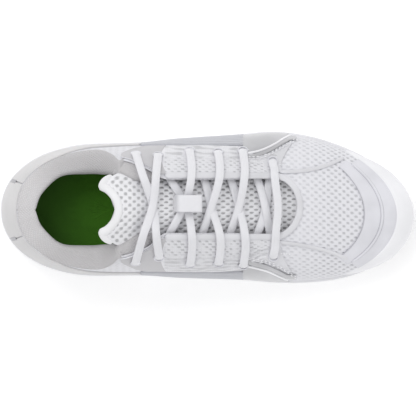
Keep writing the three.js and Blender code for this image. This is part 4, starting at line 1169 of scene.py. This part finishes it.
class CHEER_OT_heel(bpy.types.Operator):
    """The heel cover, the rear overlays and two small grey tabs, whose grey is painted shade of the slots
    where they meet
    """
    bl_idname = "cheer.heel"
    bl_label = "Heel"

    def execute(self, context):
        back = HEEL_X - HEEL_TURN

        def cover(u, v, depth):
            g = mix(-26, 26, u)
            run = back + np.abs(g)
            t = mix(angle_at(run, topline(run) + 0.3), LOW_EDGE, v)
            return skin(np.where(g < 0, -1.0, 1.0), run, t, depth)

        heel = patch("heel_cover_film", "satin", cover, (56, 44), 1.1, roll=1.0, drop=1.1,
                     relief=lambda u, v: 0.1 * np.sin(np.pi * u) * np.sin(np.pi * v))
        stand(heel, "synthetic", "heel_cover")
        for name, s in SIGN.items():
            def band(u, v, depth):
                run = mix(back + 26.5, along(0.335), u)
                x = np.maximum(run, HEEL_X)
                edge = np.minimum(topline(run) + 0.2, sole_top(x) + mix(40, 17, smooth(0.15, 1, u)))
                return skin(s, run, mix(angle_at(run, edge), LOW_EDGE, v), depth)

            rear = patch(f"rear_overlay_{name}_film", "satin", band, (95, 28), 1.1)
            stand(rear, "synthetic", f"rear_overlay_{name}")

            # painted shade: a grey tab laid over the joint between the heel cover and the rear overlay,
            # standing for the slot's shade
            def slot_shade(u, v, depth):
                run = back + mix(24.2, 27.6, u)
                return skin(s, run, mix(angle_at(run, 52), angle_at(run, 36), v), depth - 0.25)

            notch = patch(f"heel_slot_shade_{name}", "notch", slot_shade, (4, 16), 0.7, roll=0.5, drop=0.35,
                          wall_mm=0.3)
            stand(notch, "synthetic")
        return {"FINISHED"}


def collar_section(run):
    """The collar's padded section as depth and height, from the outer foot over the roll to the inner.
    Its mouth comes to a soft point at the heel and is fullest a third of the way forward."""
    top = topline(run)
    foot = sole_top(np.maximum(run, HEEL_X)) + BOARD + INSOLE + 3
    behind = run - (HEEL_X - HEEL_TURN)
    mouth = (collar_depth(run) + 1.2 * np.exp(-behind / 40) - 1.8 * np.exp(-behind / 8)
             - 2.4 * np.exp(-((behind - 59) / 15) ** 2))
    i, inner = INSIDE, 10.4
    rows = [(i, foot), (i, mix(foot, top, 0.3)), (i, mix(foot, top, 0.6)), (i - 0.4, top - 5),
            (i - 2.6, top - 1.6), (i - 4.3, top - 0.2), (i - 4.3, top + 0.9), (i - 2.4, top + 2.3),
            (mix(i, mouth, 0.25), top + 3.3), (mix(i, mouth, 0.65), top + 2.9), (mouth - 1.1, top + 0.3),
            (mouth, top - 5), (mouth - 0.6, mix(foot, top, 0.6)),
            (mix(inner, mouth, 0.4), mix(foot, top, 0.3)), (inner, foot)]
    return np.stack([joined(d, z) for d, z in rows], -2)


class CHEER_OT_collar(bpy.types.Operator):
    """The padded collar: a rolled section carried round the mouth, with small puckers across its roll"""
    bl_idname = "cheer.collar"
    bl_label = "Collar"

    def execute(self, context):
        count = 181
        g = np.linspace(-1, 1, count)
        side = np.where(g < 0, 1.0, -1.0)
        run = mix(HEEL_X - HEEL_TURN, COLLAR_X, np.abs(g))
        section = collar_section(run)
        share = np.linspace(0, 1, 61)
        rows = []
        for row in section:
            fine = spline(row, 0.1)
            places = np.linspace(0, 1, len(fine))
            rows.append(joined(*(np.interp(share, places, column) for column in fine.T)))
        rows = np.array(rows)
        # small puckers across the roll, and both front ends tucked down under the eyestays
        ridge = np.sin(np.pi * np.clip((share - 0.3) / 0.5, 0, 1))
        pucker = 0.25 * wander(g[:, None] * 130, share[None] * 40, 26, 4) * ridge
        tuck = 7 * smooth(0.945, 1, np.abs(g))[:, None] * smooth(0.15, 0.3, share)[None]
        shift = joined(rows[..., 0] - 0.4 * pucker, rows[..., 1] + pucker - tuck)
        points = wall(side[:, None], run[:, None], shift[..., 0], shift[..., 1])
        ring = np.concatenate([points, points[:, :1]], 1)
        far, girth = distances(points[:, len(share) // 2]), distances(points[count // 2])
        uv = joined(far[:, None], np.append(girth, girth[-1] + 5)[None])
        # painted shade: these hole values darken the collar towards its inner lip, and more along its sides
        # than round the heel
        inner = smooth(0.55, 0.85, np.append(share, 1))[None] * np.ones((count, 1))
        ring = capped(ring)
        uv = np.concatenate([uv[:1], uv, uv[-1:]])
        painted_side_shade = smooth(0.25, 0.6, np.abs(g))[:, None]
        inner = 0.12 + 0.22 * painted_side_shade + inner * (0.25 + 0.2 * painted_side_shade)
        shade = np.concatenate([inner[:1], inner, inner[-1:]])
        collar = piece("collar_padded", ring, lattice(*ring.shape[:2]), "collar", uv,
                       {"hole": shade.ravel()}, closed=True)
        stand(collar, "lining", "collar_lining", "collar_foam")
        sink = through([(0, 10), (0.14, 6.6), (0.3, 4.3), (0.6, 2.7), (0.85, 2.0), (1, 2.3)])
        for name, s in SIGN.items():
            edge = quarter_edge(name)
            place = through([(0, 0.05), (0.14, 0.0), (0.3, 0.12), (1, 1)])

            def front(u, v, depth):
                x = mix(-61.5, -34, u)
                near = mix(28.2 - 0.7 * s, 20.4, smooth(-61, -46, x))
                y = mix(near, mix(30.0, edge(x) + 2.0, smooth(-60.5, -56, x)), place(v))
                down = sink(v) + 5 * (1 - smooth(-61.5, -57, x)) + 2.5 * smooth(-42, -34, x)
                return skin(s, x, plan_angle(x, s * y), down + depth)

            # painted shade: the hole values darken the gusset all over, most along its deep edge beside the
            # tongue
            gusset = patch(f"collar_front_{name}", "collar", front, (27, 22), 0.9, roll=0.8,
                           drop=0.5, values={"hole": lambda u, v: 0.3 + 0.3 * (1 - smooth(0.1, 0.4, v))},
                           wall_mm=0.6)
            stand(gusset, "lining")
        return {"FINISHED"}


def tongue_half(x):
    """Half the tongue's width, fuller at the wings of its free end."""
    return through([(-70, 21.5), (-64, 23.6), (-56, 23.4), (-45, 22)])(x)


def tongue_rim(share):
    """Rear edge of the tongue across its width: a hollow between two wing tips that round off outside."""
    a = np.abs(share)
    tip = along(0.242)
    return mix(along(0.281), tip, np.minimum(1, (a / 0.7) ** 2)) + 7.5 * np.maximum(0, (a - 0.7) / 0.3) ** 2


class CHEER_OT_tongue(bpy.types.Operator):
    """The padded tongue: open mesh over foam, with a rolled binding round its free end"""
    bl_idname = "cheer.tongue"
    bl_label = "Tongue"

    def execute(self, context):
        front = through([(along(0.66), TONGUE_DEPTH), (along(0.722), INSIDE)])
        rear = through([(-50.5, 5.2), (-38.5, TONGUE_DEPTH)])
        count, wide = 230, 71
        s = np.linspace(-1, 1, wide)[None]
        u = np.linspace(0, 1, count)[:, None]
        back = tongue_rim(s) + 3.0 * (1 + 0.3 * s**2)
        x = mix(back, TONGUE_FRONT_X, u)
        half = tongue_half(x)
        y = middle(x) + s * half
        depth = np.where(x < 0, rear(x), front(x))
        pitch = sizes().tongue_pitch / MM
        reach = x - along(0.24)
        across = s * 22.5
        long = smooth(-45, -30, x)
        hole = np.maximum(holes(reach, across, pitch, pitch * 0.86, 0.1, 0.6) * (1 - long),
                          holes(reach, across, pitch * 1.1, pitch * 0.7, 0.16, 0.6, 1.6) * long)
        edge = np.minimum((1 - np.abs(s)) * half, (x - back) + 1.0)
        # the top rounds down towards its edge over 6 mm
        crown = 0.9 * (1 - (1 - np.clip(edge / 6, 0, 1)) ** 2) - 0.9
        hole = hole * smooth(1.2, 2.6, edge)
        top = drape(x, y, depth - crown * 0.8 + 0.55 * hole)
        # the pad is thickest behind the line where the flap hinges
        thick = np.where(x < -48, mix(7.0, 4.5, smooth(-50, -46, x)), 4.5) * 0.96
        thick = np.where(x < -50, 6.6, thick)
        under = drape(x, y, depth + thick - 0.3)
        points = capped(np.concatenate([top, under[:, ::-1], top[:, :1]], 1))
        # the face map lays the underside beside the top
        span = np.concatenate([s * 22, 70 - s[:, ::-1] * 22, s[:, :1] * 22 + 140], 1)
        uv = joined(np.pad(reach[:, :1], ((1, 1), (0, 0)), "edge"), span)
        # painted shadow: the hole values darken the holes of the top only, at 0.6 on the free end rising to
        # 0.86 in the throat
        held = np.concatenate([hole, np.zeros_like(hole), hole[:, :1] * 0], 1)
        held = np.concatenate([held[:1] * 0, held, held[:1] * 0])
        tongue = piece("tongue_mesh_padded", points, lattice(*points.shape[:2]), "tongue_mesh", uv,
                       {"hole": (held * mix(0.6, 0.86, smooth(-46, -34, points[..., 0]))).ravel()},
                       closed=True)
        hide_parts("tongue", "tongue_top")
        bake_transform(tongue)
        share = np.linspace(-0.985, 0.985, 110)
        rear_x = tongue_rim(share) + 1.3
        end = smooth(0.8, 1, np.abs(share))
        rear_y = middle(rear_x) + share * (tongue_half(rear_x) - 0.8 - 2.2 * end)
        rim = drape(rear_x, rear_y, 8.1 + 0.8 * end)
        square = unit(rim - drape(rear_x, rear_y, 10))
        ahead = np.cross(heading(rim), square)
        roll = sweep("tongue_binding_rolled", "tricot", rim + square * 0.5, ahead,
                     (24, oval(5.6, 6.4, 0.85)))
        stand(roll, "lining", "tongue_binding", body="tongue_flap")
        return {"FINISHED"}


class CHEER_OT_keeper(bpy.types.Operator):
    """The webbing loop that holds the lace to the tongue: a flat strip folded over its crossing"""
    bl_idname = "cheer.keeper"
    bl_label = "Lace keeper"

    def execute(self, context):
        x, y = CROSSINGS[3]
        foot, wide, high, thick = 7.4, 11.0, TONGUE_DEPTH - GAP + 0.4, 1.2
        rear, fore = drape(x - foot, y, TONGUE_DEPTH), drape(x + foot, y, TONGUE_DEPTH)
        tilt = np.arctan2(rear[2] - fore[2], fore[0] - rear[0])
        profile = np.array([(-foot, 0), (-foot, high * 0.5), (-foot, high - 2.4), (-foot + 0.7, high - 0.6),
                            (-foot + 2.6, high), (0, high + 0.15), (foot - 2.6, high),
                            (foot - 0.7, high - 0.6), (foot, high - 2.4), (foot, high * 0.5), (foot, 0)])
        ahead, up = spline(profile, 0.6).T
        turn = np.array([[np.cos(tilt), 0, np.sin(tilt)], [0, 1, 0], [-np.sin(tilt), 0, np.cos(tilt)]])
        path = joined(ahead, 0.0, up) @ turn.T + (rear + fore) / 2 + (0, 0, 0.9)
        across = np.tile((0.0, 1.0, 0.0), (len(path), 1))
        centre = path - unit(np.cross(heading(path), across)) * -thick / 2
        loop = sweep("lace_keeper_webbing", "lace", centre, across, (24, oval(wide, thick, 0.35)))
        stand(loop, "lace", "lace_keeper")
        return {"FINISHED"}


class CHEER_OT_stitching(bpy.types.Operator):
    """Rows of thread along the seams, each stitch a small spindle"""
    bl_idname = "cheer.stitching"
    bl_label = "Stitching"

    def execute(self, context):
        length = sizes().stitch_length / MM
        routes = []
        for s, seam in ((1, [(27, 33.3), (36.3, 34.2), (47.7, 40.1), (58.3, 46.1)]),
                        (-1, [(27, 33.5), (33.9, 34.9), (45.4, 38.5), (56.9, 45.8)])):
            for shift in (0.0, 1.1):
                routes.append([(x, s * (y - shift)) for x, y in seam])
        thread = stitches("seam_stitching", "thread", routes, length, depth=-0.95)
        stand(thread, "synthetic")
        tacks = [[(47, 28.3), (50, 28.0), (52.5, 27.7)], [(48, -29.6), (50.5, -29.9), (53, -30.2)]]
        bars = stitches("bar_tacks", "thread", tacks, 1.4, depth=-1.1)
        stand(bars, "synthetic")
        return {"FINISHED"}


class CHEER_OT_linings(bpy.types.Operator):
    """Finishes for the plates, board and linings that stay as the frame has them"""
    bl_idname = "cheer.linings"
    bl_label = "Inner pieces"

    def execute(self, context):
        for node, finish in (("vamp_lining", "lining"), ("toe_puff", "plastic"), ("heel_counter", "plastic"),
                             ("shank", "plastic"), ("strobel_board", "board")):
            refinish(node, finish)
        return {"FINISHED"}


def length_prop(name, text, default):
    """A length in metres for the panel."""
    return bpy.props.FloatProperty(name=name, description=text, default=default, min=0.0001, max=50,
                                   subtype="DISTANCE", unit="LENGTH", precision=4)


def colour_prop(name, text, code):
    """A colour for the panel, from its sRGB code."""
    return bpy.props.FloatVectorProperty(name=name, description=text, subtype="COLOR", size=4, min=0,
                                         max=1, default=linear(code))


class CheerShoeColours(bpy.types.PropertyGroup):
    """Colours that a maker would change"""
    mesh: colour_prop("Mesh", "Yarn of the toe mesh and the quarters", "#ececf1")
    tongue: colour_prop("Tongue", "Open mesh of the tongue", "#f4f4f7")
    eyestay: colour_prop("Eyestay", "Gathered mesh of the eyestays", "#eeeef2")
    ribs: colour_prop("Ribs", "Ribbed knit of the sides", "#cecfd5")
    collar: colour_prop("Collar", "Padded collar's knit", "#e5e3e5")
    lining: colour_prop("Lining", "Lining inside the shoe", "#dcdadc")
    lace: colour_prop("Lace", "Braided lace and its keeper", "#ececf0")
    thread: colour_prop("Thread", "Sewing thread", "#f2f2f5")
    board: colour_prop("Board", "Board under the insole", "#d6d0c2")
    insole: colour_prop("Insole", "Cloth of the insole", "#407b09")
    synthetic: colour_prop("Coated sheet", "Strips and coated sheets", "#e0e0e4")
    heel: colour_prop("Heel", "Coated sheet round the heel", "#d5d4d5")
    eyestay_film: colour_prop("Eyestay film", "Coated sheet behind the eyelets", "#c5c4c7")
    binding: colour_prop("Binding", "Rolled edge of the tongue", "#f3f3f5")
    band: colour_prop("Toe bands", "Bands round the toe", "#e2e2e8")
    pearl: colour_prop("Pearl", "Panels of the sides", "#c6c6c9")
    piping: colour_prop("Piping", "Bright line beside the panels", "#f4f4f7")
    rubber: colour_prop("Rubber", "Outsole and toe bumper", "#f3f3f6")
    foam: colour_prop("Foam", "Midsole", "#f0f0f3")
    plate: colour_prop("Plates", "Stiff plates inside", "#cfcfd4")
    aglet: colour_prop("Lace tips", "Film round the lace's ends", "#e8e8ee")
    # grey of the heel tabs, painted shade of the slots where the heel cover meets the rear overlays
    slot_shade: colour_prop("Heel tabs", "Two small tabs at the heel", "#a9a9ae")
    seam: colour_prop("Seams", "Shadowed lines between sheets", "#c4c4ca")


class CheerShoeSizes(bpy.types.PropertyGroup):
    """Sizes that a maker would change"""
    lace_width: length_prop("Lace width", "Width of the flat lace", 0.0054)
    lace_thickness: length_prop("Lace thickness", "Thickness of the flat lace", 0.0026)
    mesh_pitch: length_prop("Mesh pitch", "Distance between two holes of the toe mesh", 0.0055)
    tongue_pitch: length_prop("Tongue pitch", "Distance between two holes of the tongue", 0.0056)
    dimple_depth: length_prop("Dimple depth", "How deep each hole of the toe mesh is", 0.0005)
    rib_pitch: length_prop("Rib pitch", "Distance between two ridges of the side bands", 0.0029)
    binding_width: length_prop("Binding width", "Width of the strip round the throat", 0.004)
    stitch_length: length_prop("Stitch length", "Length of one stitch", 0.0021)
    camera_height: length_prop("Camera height", "Camera above the shoe", 6.0)
    view_width: length_prop("View width", "Width that the camera sees", 0.2712)
    floor_glow: bpy.props.FloatProperty(name="Floor glow", description="Light given off by the floor",
                                        default=0.2, min=0, max=2)
    room_light: bpy.props.FloatProperty(name="Room light", description="Even light from all round",
                                        default=0.72, min=0, max=5)
    key_light: bpy.props.FloatProperty(name="Key light", description="Power of the main lamp",
                                       default=9.0, min=0, max=500, unit="POWER")


STEPS = (CHEER_OT_stage, CHEER_OT_lace, CHEER_OT_sole, CHEER_OT_insole, CHEER_OT_vamp, CHEER_OT_toe,
         CHEER_OT_eyestays, CHEER_OT_binding, CHEER_OT_sides, CHEER_OT_strips, CHEER_OT_quarters,
         CHEER_OT_heel, CHEER_OT_collar, CHEER_OT_tongue, CHEER_OT_keeper, CHEER_OT_stitching,
         CHEER_OT_linings)


class CHEER_PT_panel(bpy.types.Panel):
    """Lists every step of the shoe"""
    bl_idname = "CHEER_PT_panel"
    bl_label = "Cheer Shoe"
    bl_space_type = "VIEW_3D"
    bl_region_type = "UI"
    bl_category = "Cheer Shoe"

    def draw(self, context):
        scene = context.scene
        for group in (scene.cheer_shoe_sizes, scene.cheer_shoe_colours):
            for key in type(group).__annotations__:
                self.layout.prop(group, key)
        for step in STEPS:
            self.layout.operator(step.bl_idname)


CLASSES = (CheerShoeSizes, CheerShoeColours, *STEPS, CHEER_PT_panel)


def register():
    """Adds the panel, its sizes and colours, and every step."""
    for cls in CLASSES:
        bpy.utils.register_class(cls)
    bpy.types.Scene.cheer_shoe_sizes = bpy.props.PointerProperty(type=CheerShoeSizes)
    bpy.types.Scene.cheer_shoe_colours = bpy.props.PointerProperty(type=CheerShoeColours)


def unregister():
    """Takes them away again."""
    del bpy.types.Scene.cheer_shoe_sizes, bpy.types.Scene.cheer_shoe_colours
    for cls in reversed(CLASSES):
        bpy.utils.unregister_class(cls)


def main():
    """Builds every step."""
    register()
    FINISH.update(make_materials())
    for step in STEPS:
        group, name = step.bl_idname.split(".")
        if getattr(getattr(bpy.ops, group), name)() != {"FINISHED"}:
            raise RuntimeError(f"{step.bl_label} stopped")
    bpy.context.view_layer.update()


if __name__ == "__main__":
    main()
